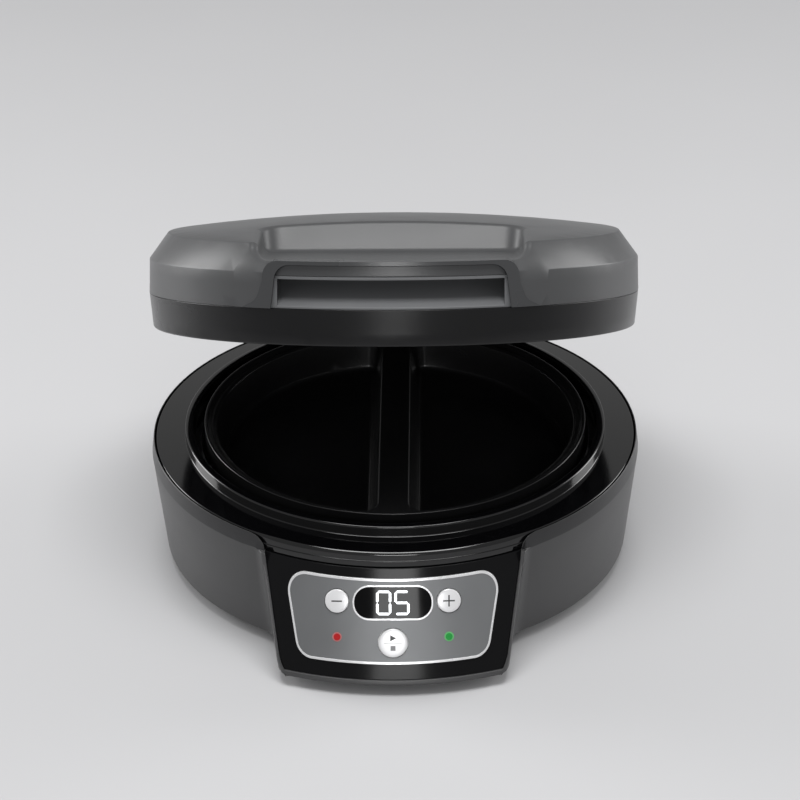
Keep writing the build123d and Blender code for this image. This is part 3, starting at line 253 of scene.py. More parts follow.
finishes = {
    "shell_grey": shell_grey, "cover_grey": cover_grey, "band_dark": band_dark, "trim_grey": trim_grey,
    "pocket_dark": pocket_dark, "deck_black": deck_black, "liner_black": liner_black,
    "pan_black": pan_black, "fascia_black": fascia_black, "panel_grey": panel_grey, "silver": silver,
    "button_silver": button_silver, "lens_black": lens_black, "digit_white": digit_white,
    "light_red": light_red, "light_green": light_green, "board_green": board_green,
    "component_black": component_black, "can_aluminium": can_aluminium, "steel": steel,
    "foot_rubber": foot_rubber,
}
own_finish = {"handle_grip": grip_grey, "power_ring": ring_red, "ready_ring": ring_green}
records = {entry["node"]: entry for entry in frame["record"]["subparts"]}
for name, entry in records.items():
    nodes[name].data.materials.clear()
    nodes[name].data.materials.append(own_finish.get(name, finishes[entry["material_slot"]]))
print("finishes:", len(finishes) + len(own_finish))

# %% [markdown]
# ## Soft edges
#
# A mould never leaves a knife edge. On the real object every rim and corner carries a small round, and that
# round is what catches the light as a thin bright line. Each visible piece is copied, its loose triangles
# are merged, its flat faces are joined, and a Bevel modifier rounds every edge that turns by more than a
# given angle. The copy stands for the CAD piece and rides on the same body.

# %% Rounded copies
body_of = {
    name: body for body, names in frame["record"]["behaviour"]["bodies"].items() for name in names
}
merge_gap = 0.001 * MM
flat_angle = radians(0.08)


def merged_copy(name):
    """The mesh of a CAD piece with its triangles joined into whole faces."""
    form = bmesh.new()
    form.from_mesh(nodes[name].data)
    bmesh.ops.remove_doubles(form, verts=form.verts, dist=merge_gap)
    bmesh.ops.dissolve_limit(form, angle_limit=flat_angle, verts=form.verts, edges=form.edges)
    return form


def finished_piece(name, form, body, materials):
    """A mesh object made from a form, riding on a body."""
    mesh = bpy.data.meshes.new(name)
    form.to_mesh(mesh)
    form.free()
    piece = bpy.data.objects.new(name, mesh)
    bpy.context.scene.collection.objects.link(piece)
    for material in materials:
        mesh.materials.append(material)
    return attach(piece, body)


def shade_soft(piece, crease=30):
    """Smooth shading that stays crisp at edges sharper than the crease angle."""
    piece.data.shade_smooth()
    piece.data.set_sharp_from_angle(angle=radians(crease))


def settle(piece, source, stray):
    """Makes the rounding part of the mesh, and pulls any point that strayed back to the CAD surface."""
    bpy.context.view_layer.update()
    graph = bpy.context.evaluated_depsgraph_get()
    rounded = bpy.data.meshes.new_from_object(piece.evaluated_get(graph), depsgraph=graph)
    piece.modifiers.clear()
    piece.data = rounded
    surface = BVHTree.FromPolygons(
        [vert.co for vert in source.data.vertices], [face.vertices for face in source.data.polygons],
    )
    moved = 0
    for vert in rounded.vertices:
        nearest, _, _, distance = surface.find_nearest(vert.co)
        if distance > stray:
            vert.co = nearest
            moved += 1
    if moved:
        print(piece.name, "points pulled back:", moved)


print("bodies that pieces ride on:", sorted(set(body_of.values())))

# %% [markdown]
# Most pieces are rounded in the same way, each by its own width. A wide round suits the big mouldings, and
# a fine one suits the thin overlay and the ring of the window. Where the Bevel modifier throws a point too
# far, as it can at a sliver, that point goes back to the surface it came from.

# %% Rounding of single pieces
def soften(name, form, width, segments=2, crease=30, materials=None, stray=0.4 * MM, limit="ANGLE"):
    """Shows a form with rounded edges in place of a CAD piece."""
    materials = materials or [nodes[name].data.materials[0]]
    piece = finished_piece(name + "_soft", form, body_of[name], materials)
    shade_soft(piece, crease)
    bevel = piece.modifiers.new("round_edges", "BEVEL")
    bevel.width = width
    bevel.segments = segments
    bevel.limit_method = limit
    bevel.angle_limit = radians(crease)
    bevel.use_clamp_overlap = False
    bevel.harden_normals = True
    settle(piece, nodes[name], stray)
    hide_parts(name)
    return piece


edge_widths = {
    "control_fascia": 0.2, "panel_border": 0.08, "display_ring": 0.1, "control_panel": 0.08, "lid_band": 0.35,
    "lid_liner": 0.3, "handle_grip": 0.4, "finger_pocket": 0.3, "upper_plate": 0.35, "hinge_arm": 0.5,
    "bottom_cover": 0.3,
}
for name, width in edge_widths.items():
    soften(name, merged_copy(name), width * MM)
print("pieces with rounded edges:", len(edge_widths))

# %% [markdown]
# The cover of the lid meets the handle in edges that run out to nothing, and a rounding there would leave
# sharp glints. So its rounding is set edge by edge with a bevel weight, and the edges beside the handle
# keep a weight of nought.

# %% Lid cover
soft_angle = radians(30)
handle_half, handle_depth = 75 * MM, 30 * MM
handle_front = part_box("handle_trim")[0].y

cover_form = merged_copy("lid_cover")
cover_form.normal_update()
cover_weight = cover_form.edges.layers.float.new("bevel_weight_edge")
rounded_edges = 0
for edge in cover_form.edges:
    beside_handle = all(
        abs(vert.co.x) < handle_half and vert.co.y < handle_front + handle_depth for vert in edge.verts
    )
    if edge.calc_face_angle(0) > soft_angle and not beside_handle:
        edge[cover_weight] = 1.0
        rounded_edges += 1
soften("lid_cover", cover_form, 0.35 * MM, limit="WEIGHT")
print("edges rounded on the lid cover:", rounded_edges)

# %% [markdown]
# The lower pan is cast and then coated, so its edges are rounder than those of the thin mouldings. Each round
# gets one step more, because the camera looks down into it.

# %% Lower pan
lower_pan = soften("lower_plate", merged_copy("lower_plate"), 0.4 * MM, segments=3)
print("faces of the lower pan:", len(lower_pan.data.polygons))

# %% [markdown]
# ## The housing
#
# The outer shell gets two things more. Its lower edge is rounded far more than the others, so the wall
# seems to roll under the object. And the slanted strip along its rim carries painted shade: its faces, those
# that lie between the deck and the wall and tilt upwards, take a second finish much darker than the wall.

# %% Outer shell
foot_round = 1.5 * MM
foot_zone = 2.5 * MM
wall_facing, sole_facing = 0.3, -0.9
strip_depth, strip_above = 7.2 * MM, 2.0 * MM
strip_lean, strip_facing = 0.05, 0.2
axis_point = Vector((0, base_origin.y, 0))

shell_form = merged_copy("outer_shell")
shell_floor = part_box("outer_shell")[0].z


def outward(face):
    """How much a face looks away from the axis of the pan."""
    away = face.calc_center_median() - axis_point
    return face.normal.dot(Vector((away.x, away.y, 0)).normalized())


shell_form.normal_update()
low_edges = [
    edge for edge in shell_form.edges
    if len(edge.link_faces) == 2
    and all(vert.co.z < shell_floor + 0.01 * MM for vert in edge.verts)
    and max(outward(face) for face in edge.link_faces) > wall_facing
    and min(face.normal.z for face in edge.link_faces) < sole_facing
]
bmesh.ops.bevel(
    shell_form, geom=low_edges, offset=foot_round, offset_type="OFFSET", segments=4, profile=0.5,
    affect="EDGES", clamp_overlap=False,
)
# Faces of the rim strip that tilt upwards take the painted-shade finish.
for face in shell_form.faces:
    middle_z = face.calc_center_median().z - deck_z
    in_strip = -strip_depth < middle_z < strip_above
    if in_strip and face.normal.z > strip_lean and outward(face) > strip_facing:
        face.material_index = 1
shell_weight = shell_form.edges.layers.float.new("bevel_weight_edge")
for edge in shell_form.edges:
    above_foot = max(vert.co.z for vert in edge.verts) > shell_floor + foot_zone
    if above_foot and edge.calc_face_angle(0) > soft_angle:
        edge[shell_weight] = 1.0
soften(
    "outer_shell", shell_form, 0.3 * MM, materials=[shell_grey, rim_painted_shade], stray=0.85 * MM, limit="WEIGHT",
)
print("edges rounded along the foot:", len(low_edges))

# %% [markdown]
# ## The deck
#
# The deck is one turned ring: a well that holds the pan, a raised ring, a flat land and a skirt. It is
# built again from its profile, because a turned mesh mirrors the room without a flaw. Every corner of the
# profile has its own radius. The brow over the control face is rounder than the rest of the rim, so its
# radius changes with the angle.

# %% Turned rings
ring_steps = 288


def rounded_profile(corners, steps=4):
    """Points of a closed profile whose corners (radius, height, rounding) are turned into arcs."""
    points = []
    for index, (r, z, rounding) in enumerate(corners):
        corner = Vector((r, z, 0))
        before = Vector((*corners[index - 1][:2], 0)) - corner
        after = Vector((*corners[(index + 1) % len(corners)][:2], 0)) - corner
        half = before.angle(after) / 2
        middle = before.normalized() + after.normalized()
        centre = corner + middle.normalized() * rounding / sin(half)
        start = corner + before.normalized() * rounding / tan(half) - centre
        end = corner + after.normalized() * rounding / tan(half) - centre
        for step in range(steps + 1):
            point = centre + start.slerp(end, step / steps).normalized() * rounding
            points.append((point.x, point.y))
    return points


def ring_form(profile_at, steps=ring_steps):
    """A closed ring whose profile may change with the angle, counted from the front."""
    form = bmesh.new()
    loops = []
    for step in range(steps):
        angle = 2 * pi * step / steps
        away = Vector((sin(angle), -cos(angle), 0))
        loops.append([
            form.verts.new(base_origin + r * MM * away + Vector((0, 0, z * MM)))
            for r, z in profile_at(degrees(angle) if angle <= pi else 360 - degrees(angle))
        ])
    for loop, following in zip(loops, loops[1:] + loops[:1]):
        for k in range(len(loop)):
            n = (k + 1) % len(loop)
            form.faces.new((loop[k], loop[n], following[n], following[k]))
    bmesh.ops.recalc_face_normals(form, faces=form.faces)
    return form


print("steps round a ring:", ring_steps)

# %% [markdown]
# The sizes of the deck are given in millimetres, as radii from the axis and heights from its land. The
# rounding of the brow is full in the middle of the front and fades to that of the rim at the sides of the
# control face.

# %% Deck
deck_mm = deck_r / MM
ring_out, ring_in, well_in = deck_mm - 14.8, deck_mm - 18.8, deck_mm - 22.8
ring_top, well_floor, deck_skin = ring_height / MM, -3.0, 2.4
skirt_in, bead_in, bead_top, skirt_low = deck_mm - 1.8, deck_mm - 0.4, -4.2, -7.2
brow_round, rim_round = 2.0, 0.7
brow_half, brow_end = 27.0, 35.0


def deck_profile(angle):
    """Profile of the deck at an angle from the front, in degrees."""
    share = min(max((brow_end - angle) / (brow_end - brow_half), 0), 1)
    brow = rim_round + (brow_round - rim_round) * share
    return rounded_profile([
        (well_in, well_floor - deck_skin, 0.2), (well_in, well_floor, 0.5), (ring_in, well_floor, 0.3),
        (ring_in, ring_top, 0.8), (ring_out, ring_top, 0.8), (ring_out, 0, 0.5), (bead_in, 0, brow),
        (bead_in, bead_top, 0.25), (deck_mm, bead_top, 0.35), (deck_mm, skirt_low, 0.3),
        (skirt_in, skirt_low, 0.3), (skirt_in, -deck_skin, 0.3), (ring_out, -deck_skin, 0.3),
        (ring_out - deck_skin, well_floor - deck_skin, 0.3),
    ])


deck = finished_piece("deck_ring", ring_form(deck_profile), "base", [deck_black])
shade_soft(deck, 40)
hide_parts("deck")
print("deck faces:", len(deck.data.polygons))

# %% [markdown]
# ## The buttons
#
# The round keys are turned metal caps. Each is built as rings of points round the axis on which it is
# pressed. The control face is part of a cone, so the height of every ring point is measured up from that
# cone, and a low crown is added in the middle. Under the face the cap widens to a flange, then narrows to
# the stem that meets the switch.

# %% A place on the control face
face_normal = -Vector(joints["minus_press"]["axis"]).normalized()
face_side = Vector((1, 0, 0))
face_up = face_normal.cross(face_side)
face_slope = -face_normal.z / face_normal.y
face_top_r = deck_r + 1.0 * MM
face_top_z = -8.0 * MM


def face_radius(z):
    """Radius of the control face at a height below the deck."""
    return face_top_r + face_slope * (face_top_z - z)


def face_origin(x, z):
    """The point of the control face at a front-view place."""
    return base_origin + Vector((x, -sqrt(face_radius(z) ** 2 - x ** 2), z))


def face_height(origin, u, v, offset):
    """Distance along the press axis from a flat plane up to the cone, raised by an offset."""
    foot = origin + u * face_side + v * face_up - base_origin
    height = 0.0
    for _ in range(6):
        point = foot + height * face_normal
        gap = sqrt(point.x ** 2 + point.y ** 2) - face_radius(point.z) - offset
        height -= gap * -face_normal.y
    return height


def face_point(origin, u, v, height):
    """The point at a height over the plane through an origin of the control face."""
    return origin + u * face_side + v * face_up + height * face_normal


print("the control face leans back by", round(degrees(atan(face_slope)), 1), "degrees")

# %% [markdown]
# A cap is listed from its middle outwards: rings on the crown, four rings round the rim, the wall, the
# flange that keeps the cap behind the panel, and the stem. The stem ends at the height where the stem of
# the CAD piece ends, so the travel to the switch stays as it was.

# %% Button caps
button_rise, crown_rise = 1.4 * MM, 0.30 * MM
crown_shares = (0.15, 0.3, 0.45, 0.6, 0.75, 0.86)
rim_steps = ((0.42, -0.02), (0.20, -0.09), (0.06, -0.23), (0.0, -0.45))
flange_width, flange_top, flange_foot = 1.2 * MM, -2.52 * MM, -3.68 * MM
stem_r = 1.9 * MM
cap_turns = 64


def crown(distance, cap_r):
    """Height of the crown at a distance from the middle of a cap."""
    return crown_rise * (1 - (distance / cap_r) ** 2)


def button_cap(name, origin, cap_r):
    """Turned cap with a crown, a rounded rim, a flange and a stem, in place of the CAD button."""
    offsets = [vert.co - origin for vert in nodes[name + "_button"].data.vertices]
    stem_end = min(at.dot(face_normal) for at in offsets if at.cross(face_normal).length < 1.1 * stem_r)
    rings = [(cap_r * share, button_rise, crown(cap_r * share, cap_r)) for share in crown_shares]
    rings += [(cap_r - inset * MM, button_rise, drop * MM) for inset, drop in rim_steps]
    rings += [
        (cap_r, flange_top, 0.0), (cap_r + flange_width, flange_top, 0.0),
        (cap_r + flange_width, flange_foot, 0.0), (stem_r, flange_foot, 0.0), (stem_r, None, stem_end),
    ]
    form = bmesh.new()
    loops = []
    for radius, offset, extra in rings:
        loop = []
        for step in range(cap_turns):
            angle = 2 * pi * step / cap_turns
            u, v = radius * cos(angle), radius * sin(angle)
            height = extra if offset is None else extra + face_height(origin, u, v, offset)
            loop.append(form.verts.new(face_point(origin, u, v, height)))
        loops.append(loop)
    top = form.verts.new(face_point(origin, 0, 0, face_height(origin, 0, 0, button_rise) + crown_rise))
    for step in range(cap_turns):
        following = (step + 1) % cap_turns
        form.faces.new((top, loops[0][step], loops[0][following]))
        for upper, lower in zip(loops, loops[1:]):
            form.faces.new((upper[step], lower[step], lower[following], upper[following]))
    form.faces.new(list(reversed(loops[-1])))
    bmesh.ops.recalc_face_normals(form, faces=form.faces)
    piece = finished_piece(name + "_cap", form, name, [button_silver])
    shade_soft(piece, 35)
    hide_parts(name + "_button")
    return piece


button_places = {"minus": (-25.8, -22.0, 5.45), "plus": (25.8, -22.0, 5.45), "start": (0.0, -38.3, 6.65)}
button_origins = {}
for name, (x, z, cap_r) in button_places.items():
    button_origins[name] = face_origin(x * MM, z * MM)
    button_cap(name, button_origins[name], cap_r * MM)
print("button caps:", len(button_places))

# %% [markdown]
# ## Signs on the buttons
#
# The signs are printed in a thick dark ink. A sign is a strip of small squares that follows the crown of
# its cap and stands a few hundredths of a millimetre proud. The big key carries only a plain start
# triangle, a line and a stop square.

# %% Printed signs
ink_dark = grained("ink_dark", (0.03, 0.03, 0.032), 0.1, (0.35, 0.45))
ink_grey = grained("ink_grey", (0.22, 0.22, 0.225), 0.1, (0.35, 0.45))
ink_proud = 0.05 * MM
ink_sunk = 0.08 * MM


def printed_patch(form, origin, cap_r, corners, cells=8):
    """Adds a thin closed patch between four corners, laid on the crown of a cap."""
    layers = []
    for level in (ink_proud, -ink_sunk):
        grid = []
        for row in range(cells + 1):
            points = []
            for column in range(cells + 1):
                s, t = row / cells, column / cells
                shares = ((1 - s) * (1 - t), s * (1 - t), s * t, (1 - s) * t)
                u = sum(share * corner[0] for share, corner in zip(shares, corners))
                v = sum(share * corner[1] for share, corner in zip(shares, corners))
                height = face_height(origin, u, v, button_rise) + crown(sqrt(u * u + v * v), cap_r) + level
                points.append(form.verts.new(face_point(origin, u, v, height)))
            grid.append(points)
        layers.append(grid)
    upper, lower = layers
    for row in range(cells):
        for column in range(cells):
            for grid in layers:
                form.faces.new((
                    grid[row][column], grid[row + 1][column],
                    grid[row + 1][column + 1], grid[row][column + 1],
                ))
    for step in range(cells):
        for a, b in (
            ((step, 0), (step + 1, 0)), ((step, cells), (step + 1, cells)),
            ((0, step), (0, step + 1)), ((cells, step), (cells, step + 1)),
        ):
            form.faces.new((upper[a[0]][a[1]], upper[b[0]][b[1]], lower[b[0]][b[1]], lower[a[0]][a[1]]))


def bar(length, width, v=0.0):
    """Corners of a bar on the middle line of a cap, from its length and width in millimetres."""
    return [
        (-length / 2 * MM, (v - width / 2) * MM), (length / 2 * MM, (v - width / 2) * MM),
        (length / 2 * MM, (v + width / 2) * MM), (-length / 2 * MM, (v + width / 2) * MM),
    ]


start_tip = (1.5 * MM, 2.35 * MM)
start_triangle = [(-1.3 * MM, 0.9 * MM), start_tip, start_tip, (-1.3 * MM, 3.8 * MM)]
signs = {
    "minus_sign": ("minus", ink_dark, [bar(4.9, 0.62)]),
    "plus_sign": ("plus", ink_dark, [bar(5.3, 0.62), bar(0.62, 5.3)]),
    "start_sign": ("start", ink_dark, [start_triangle]),
    "start_line": ("start", ink_grey, [bar(8.0, 0.18)]),
    "stop_sign": ("start", ink_grey, [bar(2.3, 2.3, -2.3)]),
}
for sign, (body, ink, patches) in signs.items():
    form = bmesh.new()
    for corners in patches:
        printed_patch(form, button_origins[body], button_places[body][2] * MM, corners)
    bmesh.ops.remove_doubles(form, verts=form.verts, dist=merge_gap)
    bmesh.ops.recalc_face_normals(form, faces=form.faces)
    finished_piece(sign, form, body, [ink])
print("printed signs:", len(signs))

# %% [markdown]
# ## The lit number
#
# Each figure is seven thin strokes with pointed ends. The strokes that are lit stand a hair above the dark
# lens. They are slimmer than the blocks in the CAD, as a real display shows a fine gap at every joint.

# %% Display figures
display_origin = face_origin(0, -21.6 * MM)
figure_width, figure_height, figure_step = 7.0, 11.4, 8.4
stroke, joint_gap = 1.15, 0.12
lens_rise, figure_proud, figure_sunk = 0.5 * MM, 0.11 * MM, 0.02 * MM


def stroke_outline(u, v, length, upright):
    """Six corners of one stroke, in millimetres."""
    half, flat = stroke / 2, (length - stroke) / 2
    points = [(-length / 2, 0), (-flat, -half), (flat, -half), (length / 2, 0), (flat, half), (-flat, half)]
    if upright:
        points = [(-b, a) for a, b in points]
    return [(u + a, v + b) for a, b in points]


side_place, top_place = figure_width / 2 - stroke / 2, figure_height / 2 - stroke / 2
lying, standing = figure_width - stroke - 2 * joint_gap, top_place - 2 * joint_gap
strokes = {
    "a": (0, top_place, lying, False), "g": (0, 0, lying, False), "d": (0, -top_place, lying, False),
    "b": (side_place, top_place / 2, standing, True), "c": (side_place, -top_place / 2, standing, True),
    "e": (-side_place, -top_place / 2, standing, True), "f": (-side_place, top_place / 2, standing, True),
}
lit_strokes = ((-figure_step / 2, "abcdef"), (figure_step / 2, "afgcd"))
figures_form = bmesh.new()
for centre, letters in lit_strokes:
    for letter in letters:
        u, v, length, upright = strokes[letter]
        rows = []
        for level in (figure_proud, -figure_sunk):
            row = []
            for a, b in stroke_outline(centre + u, v, length, upright):
                height = face_height(display_origin, a * MM, b * MM, lens_rise) + level
                row.append(figures_form.verts.new(face_point(display_origin, a * MM, b * MM, height)))
            rows.append(row)
        figures_form.faces.new(rows[0])
        figures_form.faces.new(list(reversed(rows[1])))
        for step in range(6):
            following = (step + 1) % 6
            figures_form.faces.new((rows[0][step], rows[1][step], rows[1][following], rows[0][following]))
bmesh.ops.recalc_face_normals(figures_form, faces=figures_form.faces)
figures = finished_piece("display_figures", figures_form, "base", [digit_white])
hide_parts("display_digits")
print("strokes lit:", sum(len(letters) for _, letters in lit_strokes))

# %% [markdown]
# ## Copies round a circle
#
# The four feet, the four screws of the bottom cover and the four posts that the screws bite into repeat
# round the axis. One node tree makes them all: it sets points on a circle, puts a copy of a piece on each,
# makes the copies real and gives them their material.

# %% Node tree for copies round a circle
tree = bpy.data.node_groups.new("copies_round_a_circle", "GeometryNodeTree")
tree.interface.new_socket("Geometry", in_out="OUTPUT", socket_type="NodeSocketGeometry")
tree_inputs = {}
for label, kind in (
    ("Piece", "NodeSocketObject"), ("Copies", "NodeSocketInt"), ("Circle radius", "NodeSocketFloat"),
    ("First angle", "NodeSocketFloat"), ("Middle", "NodeSocketVector"), ("Material", "NodeSocketMaterial"),
):
    tree_inputs[label] = tree.interface.new_socket(label, in_out="INPUT", socket_type=kind).identifier
entry = tree.nodes.new("NodeGroupInput")
circle = tree.nodes.new("GeometryNodeMeshCircle")
turn = tree.nodes.new("ShaderNodeCombineXYZ")
place = tree.nodes.new("GeometryNodeTransform")
piece_info = tree.nodes.new("GeometryNodeObjectInfo")
copies = tree.nodes.new("GeometryNodeInstanceOnPoints")
real = tree.nodes.new("GeometryNodeRealizeInstances")
paint = tree.nodes.new("GeometryNodeSetMaterial")
leave = tree.nodes.new("NodeGroupOutput")
for source, target in (
    (entry.outputs["Copies"], circle.inputs["Vertices"]),
    (entry.outputs["Circle radius"], circle.inputs["Radius"]),
    (circle.outputs["Mesh"], place.inputs["Geometry"]),
    (entry.outputs["First angle"], turn.inputs["Z"]),
    (turn.outputs["Vector"], place.inputs["Rotation"]),
    (entry.outputs["Middle"], place.inputs["Translation"]),
    (place.outputs["Geometry"], copies.inputs["Points"]),
    (entry.outputs["Piece"], piece_info.inputs["Object"]),
    (piece_info.outputs["Geometry"], copies.inputs["Instance"]),
    (copies.outputs["Instances"], real.inputs["Geometry"]),
    (real.outputs["Geometry"], paint.inputs["Geometry"]),
    (entry.outputs["Material"], paint.inputs["Material"]),
    (paint.outputs["Geometry"], leave.inputs["Geometry"]),
):
    tree.links.new(source, target)
print("inputs of the tree:", list(tree_inputs))

# %% [markdown]
# The piece itself is turned once, from a profile, on the axis of the object. A plain mesh is then made of
# what the node tree gives, because only a mesh without a modifier can ride on a body and stand for a CAD
# piece.

# %% Turned pieces and their copies
turned_steps = 48


def turned_form(profile, steps=turned_steps):
    """Closed round form from (radius, height) points in millimetres that start and end on the axis."""
    form = bmesh.new()
    first = form.verts.new((0, 0, profile[0][1] * MM))
    last = form.verts.new((0, 0, profile[-1][1] * MM))
    loops = [
        [
            form.verts.new((r * MM * cos(angle), r * MM * sin(angle), z * MM))
            for angle in (2 * pi * k / steps for k in range(steps))
        ]
        for r, z in profile[1:-1]
    ]
    for k in range(steps):
        following = (k + 1) % steps
        form.faces.new((first, loops[0][k], loops[0][following]))
        form.faces.new((last, loops[-1][following], loops[-1][k]))
        for a, b in zip(loops, loops[1:]):
            form.faces.new((a[k], b[k], b[following], a[following]))
    bmesh.ops.recalc_face_normals(form, faces=form.faces)
    return form


def copies_on_circle(name, form, count, radius, first_angle, replaced, finish):
    """Repeats a form round the axis of the base and shows it in place of CAD pieces."""
    seed_mesh = bpy.data.meshes.new(name + "_seed")
    form.to_mesh(seed_mesh)
    form.free()
    seed = bpy.data.objects.new(name + "_seed", seed_mesh)
    host = bpy.data.objects.new(name + "_host", bpy.data.meshes.new(name + "_host"))
    for thing in (seed, host):
        bpy.context.scene.collection.objects.link(thing)
    modifier = host.modifiers.new("copies", "NODES")
    modifier.node_group = tree
    for label, value in (
        ("Piece", seed), ("Copies", count), ("Circle radius", radius), ("First angle", first_angle),
        ("Middle", tuple(base_origin - Vector((0, 0, deck_z)))), ("Material", finish),
    ):
        modifier[tree_inputs[label]] = value
    bpy.context.view_layer.update()
    graph = bpy.context.evaluated_depsgraph_get()
    mesh = bpy.data.meshes.new_from_object(host.evaluated_get(graph))
    for thing in (seed, host):
        bpy.data.objects.remove(thing)
    piece = bpy.data.objects.new(name, mesh)
    bpy.context.scene.collection.objects.link(piece)
    if not mesh.materials:
        mesh.materials.append(finish)
    shade_soft(piece, 35)
    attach(piece, "base")
    if replaced:
        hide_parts(*replaced)
    print(name, "has", len(mesh.polygons), "faces")
    return piece


print("steps round a turned piece:", turned_steps)

# %% [markdown]
# A rubber foot has rings on its sole, so that it grips the table. Two grooves and a hollow in the middle leave
# them standing, and all of it is part of the profile.

# %% Rubber feet
foot_circle = deck_r - 31.6 * MM
foot_top, groove = 5.0, 0.35
foot_profile = [
    (0, foot_top), (8.0, foot_top), (7.58, 1.0), (7.45, 0.45), (7.1, 0.1), (6.6, 0.0),
    (5.9, 0.0), (5.7, groove), (5.2, groove), (5.0, 0.0),
    (4.1, 0.0), (3.9, groove), (3.4, groove), (3.2, 0.0),
    (2.3, 0.0), (2.1, groove), (0, groove),
]
copies_on_circle(
    "ribbed_feet", turned_form(foot_profile), 4, foot_circle, radians(45),
    ["foot_1", "foot_2", "foot_3", "foot_4"], foot_rubber,
)

# %% [markdown]
# Four posts hang under the deck. Each has a blind hole at its lower end for one screw of the bottom cover.
# They are moulded with the deck, so they have its finish.

# %% Screw posts of the deck
post_circle, post_angle = deck_r - 12.1 * MM, radians(38)
post_r, post_low, post_high = 4.5, 7.2, deck_z / MM - deck_skin
hole_r, hole_top = 1.3, post_low + 8.0
post_profile = [
    (0, post_high), (post_r, post_high), (post_r, post_low), (hole_r, post_low), (hole_r, hole_top),
    (0, hole_top),
]
copies_on_circle(
    "deck_posts", turned_form(post_profile), 4, post_circle, post_angle, [], deck_black,
)

# %% [markdown]
# A cover screw has a flat head with a cross recess. The recess is cut with a Boolean modifier from two
# crossed wedges before the screw is copied.

# %% Screws of the bottom cover
head_low = 3.0
screw_profile = [
    (0, head_low), (2.7, head_low), (3.15, 3.12), (3.35, 3.4), (3.4, 3.8), (3.4, 5.0), (hole_r, 5.0),
    (hole_r, 12.4), (0.9, 13.0), (0, 13.0),
]
cross_half, cross_width, cross_depth, cross_narrows = 1.9, 0.36, 1.1, 0.45


def cross_form():
    """Two crossed wedges that narrow inwards."""
    form = bmesh.new()
    for turn_angle in (0, pi / 2):
        points = []
        for z, half in ((head_low - 0.2, cross_half), (head_low + cross_depth, cross_half * cross_narrows)):
            for u, v in (
                (-half, -cross_width), (half, -cross_width), (half, cross_width), (-half, cross_width),
            ):
                x = u * cos(turn_angle) - v * sin(turn_angle)
                y = u * sin(turn_angle) + v * cos(turn_angle)
                points.append(form.verts.new((x * MM, y * MM, z * MM)))
        low, high = points[:4], points[4:]
        form.faces.new(list(reversed(low)))
        form.faces.new(high)
        for k in range(4):
            form.faces.new((low[k], low[(k + 1) % 4], high[(k + 1) % 4], high[k]))
    bmesh.ops.recalc_face_normals(form, faces=form.faces)
    return form


screw_parts = []
for part_name, form in (("screw_blank", turned_form(screw_profile, 32)), ("screw_cross", cross_form())):
    part_mesh = bpy.data.meshes.new(part_name)
    form.to_mesh(part_mesh)
    form.free()
    part = bpy.data.objects.new(part_name, part_mesh)
    bpy.context.scene.collection.objects.link(part)
    screw_parts.append(part)
blank, cutter = screw_parts
cut = blank.modifiers.new("recess", "BOOLEAN")
cut.operation = "DIFFERENCE"
cut.solver = "EXACT"
cut.use_self = True
cut.object = cutter
bpy.context.view_layer.update()
cut_mesh = bpy.data.meshes.new_from_object(blank.evaluated_get(bpy.context.evaluated_depsgraph_get()))
for part in screw_parts:
    bpy.data.objects.remove(part)
screw_form = bmesh.new()
screw_form.from_mesh(cut_mesh)
copies_on_circle(
    "crossed_screws", screw_form, 4, post_circle, post_angle, ["cover_screws"], steel,
)

# %% [markdown]
# ## The studio
#
# The object stands on a wide pale floor of one plain tone. The floor is a little darker than paper, so it
# doesn't burn out to white near a lamp, and the shadow under the object stays soft and clear.

# %% Floor
def stage_material(name, tone):
    """A plain pale surface with the faintest grain."""
    material, tree, shader = new_material(name)
    patches = object_noise(tree, 6.0)
    dark = [value * 0.985 for value in tone]
    tree.links.new(tones(tree, patches, dark, tone), shader.inputs["Base Color"])
    shader.inputs["Roughness"].default_value = 0.6
    return material


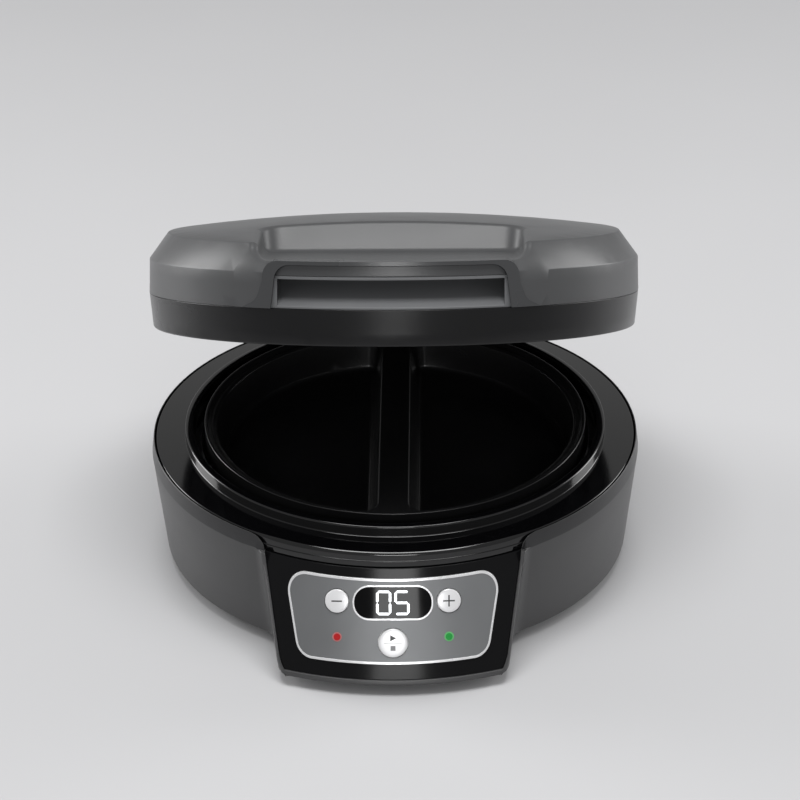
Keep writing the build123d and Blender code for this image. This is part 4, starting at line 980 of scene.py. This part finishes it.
floor_half = 3.0
floor_mesh = bpy.data.meshes.new("floor")
floor_corners = [(floor_half * a, floor_half * b, 0) for a, b in ((-1, -1), (1, -1), (1, 1), (-1, 1))]
floor_mesh.from_pydata(floor_corners, [], [(0, 1, 2, 3)])
floor = bpy.data.objects.new("floor", floor_mesh)
bpy.context.scene.collection.objects.link(floor)
floor_mesh.materials.append(stage_material("pale_floor", (0.56, 0.56, 0.57)))
print("floor:", 2 * floor_half, "m wide")

# %% [markdown]
# The room gives one even, dim light. Four large soft lamps do the rest: one above, one in front that draws
# the highlight down the middle of the band and the control face, and a tall one behind on each side that
# draws the bright lines along the rims. The beams of the two tall lamps are narrow, so they don't flood the
# floor beside them.

# %% Room and lamps
room_light = 0.4
world = bpy.data.worlds.new("room")
world.use_nodes = True
bpy.context.scene.world = world
background = world.node_tree.nodes["Background"]
background.inputs["Color"].default_value = (1.0, 1.0, 1.0, 1.0)
background.inputs["Strength"].default_value = room_light


def soft_lamp(name, place, width, height, power, beam=180):
    """A rectangular softbox that faces the object; the beam is an angle in degrees."""
    data = bpy.data.lights.new(name, "AREA")
    data.shape = "RECTANGLE"
    data.size = width
    data.size_y = height
    data.energy = power
    data.spread = radians(beam)
    lamp = bpy.data.objects.new(name, data)
    bpy.context.scene.collection.objects.link(lamp)
    lamp.location = place
    lamp.rotation_euler = (lamp_aim - Vector(place)).to_track_quat("-Z", "Y").to_euler()
    return lamp


lamp_aim = Vector((0, 0, 0.08))
lamps = [
    soft_lamp("top_box", (0, -0.12, 1.3), 0.8, 0.5, 11.0),
    soft_lamp("left_strip", (-1.68, 0.80, 0.59), 0.8, 1.28, 6.8, beam=100),
    soft_lamp("right_strip", (1.68, 0.80, 0.59), 0.8, 1.28, 5.3, beam=100),
    soft_lamp("front_box", (0.02, -1.6, 0.60), 0.5, 0.30, 4.6),
]
bpy.context.scene.view_settings.view_transform = "Standard"
print("lamps:", [lamp.name for lamp in lamps])

# %% [markdown]
# ## The size
#
# The roundings must not make the object bigger than the CAD model.

# %% The end
print("end of the scene")
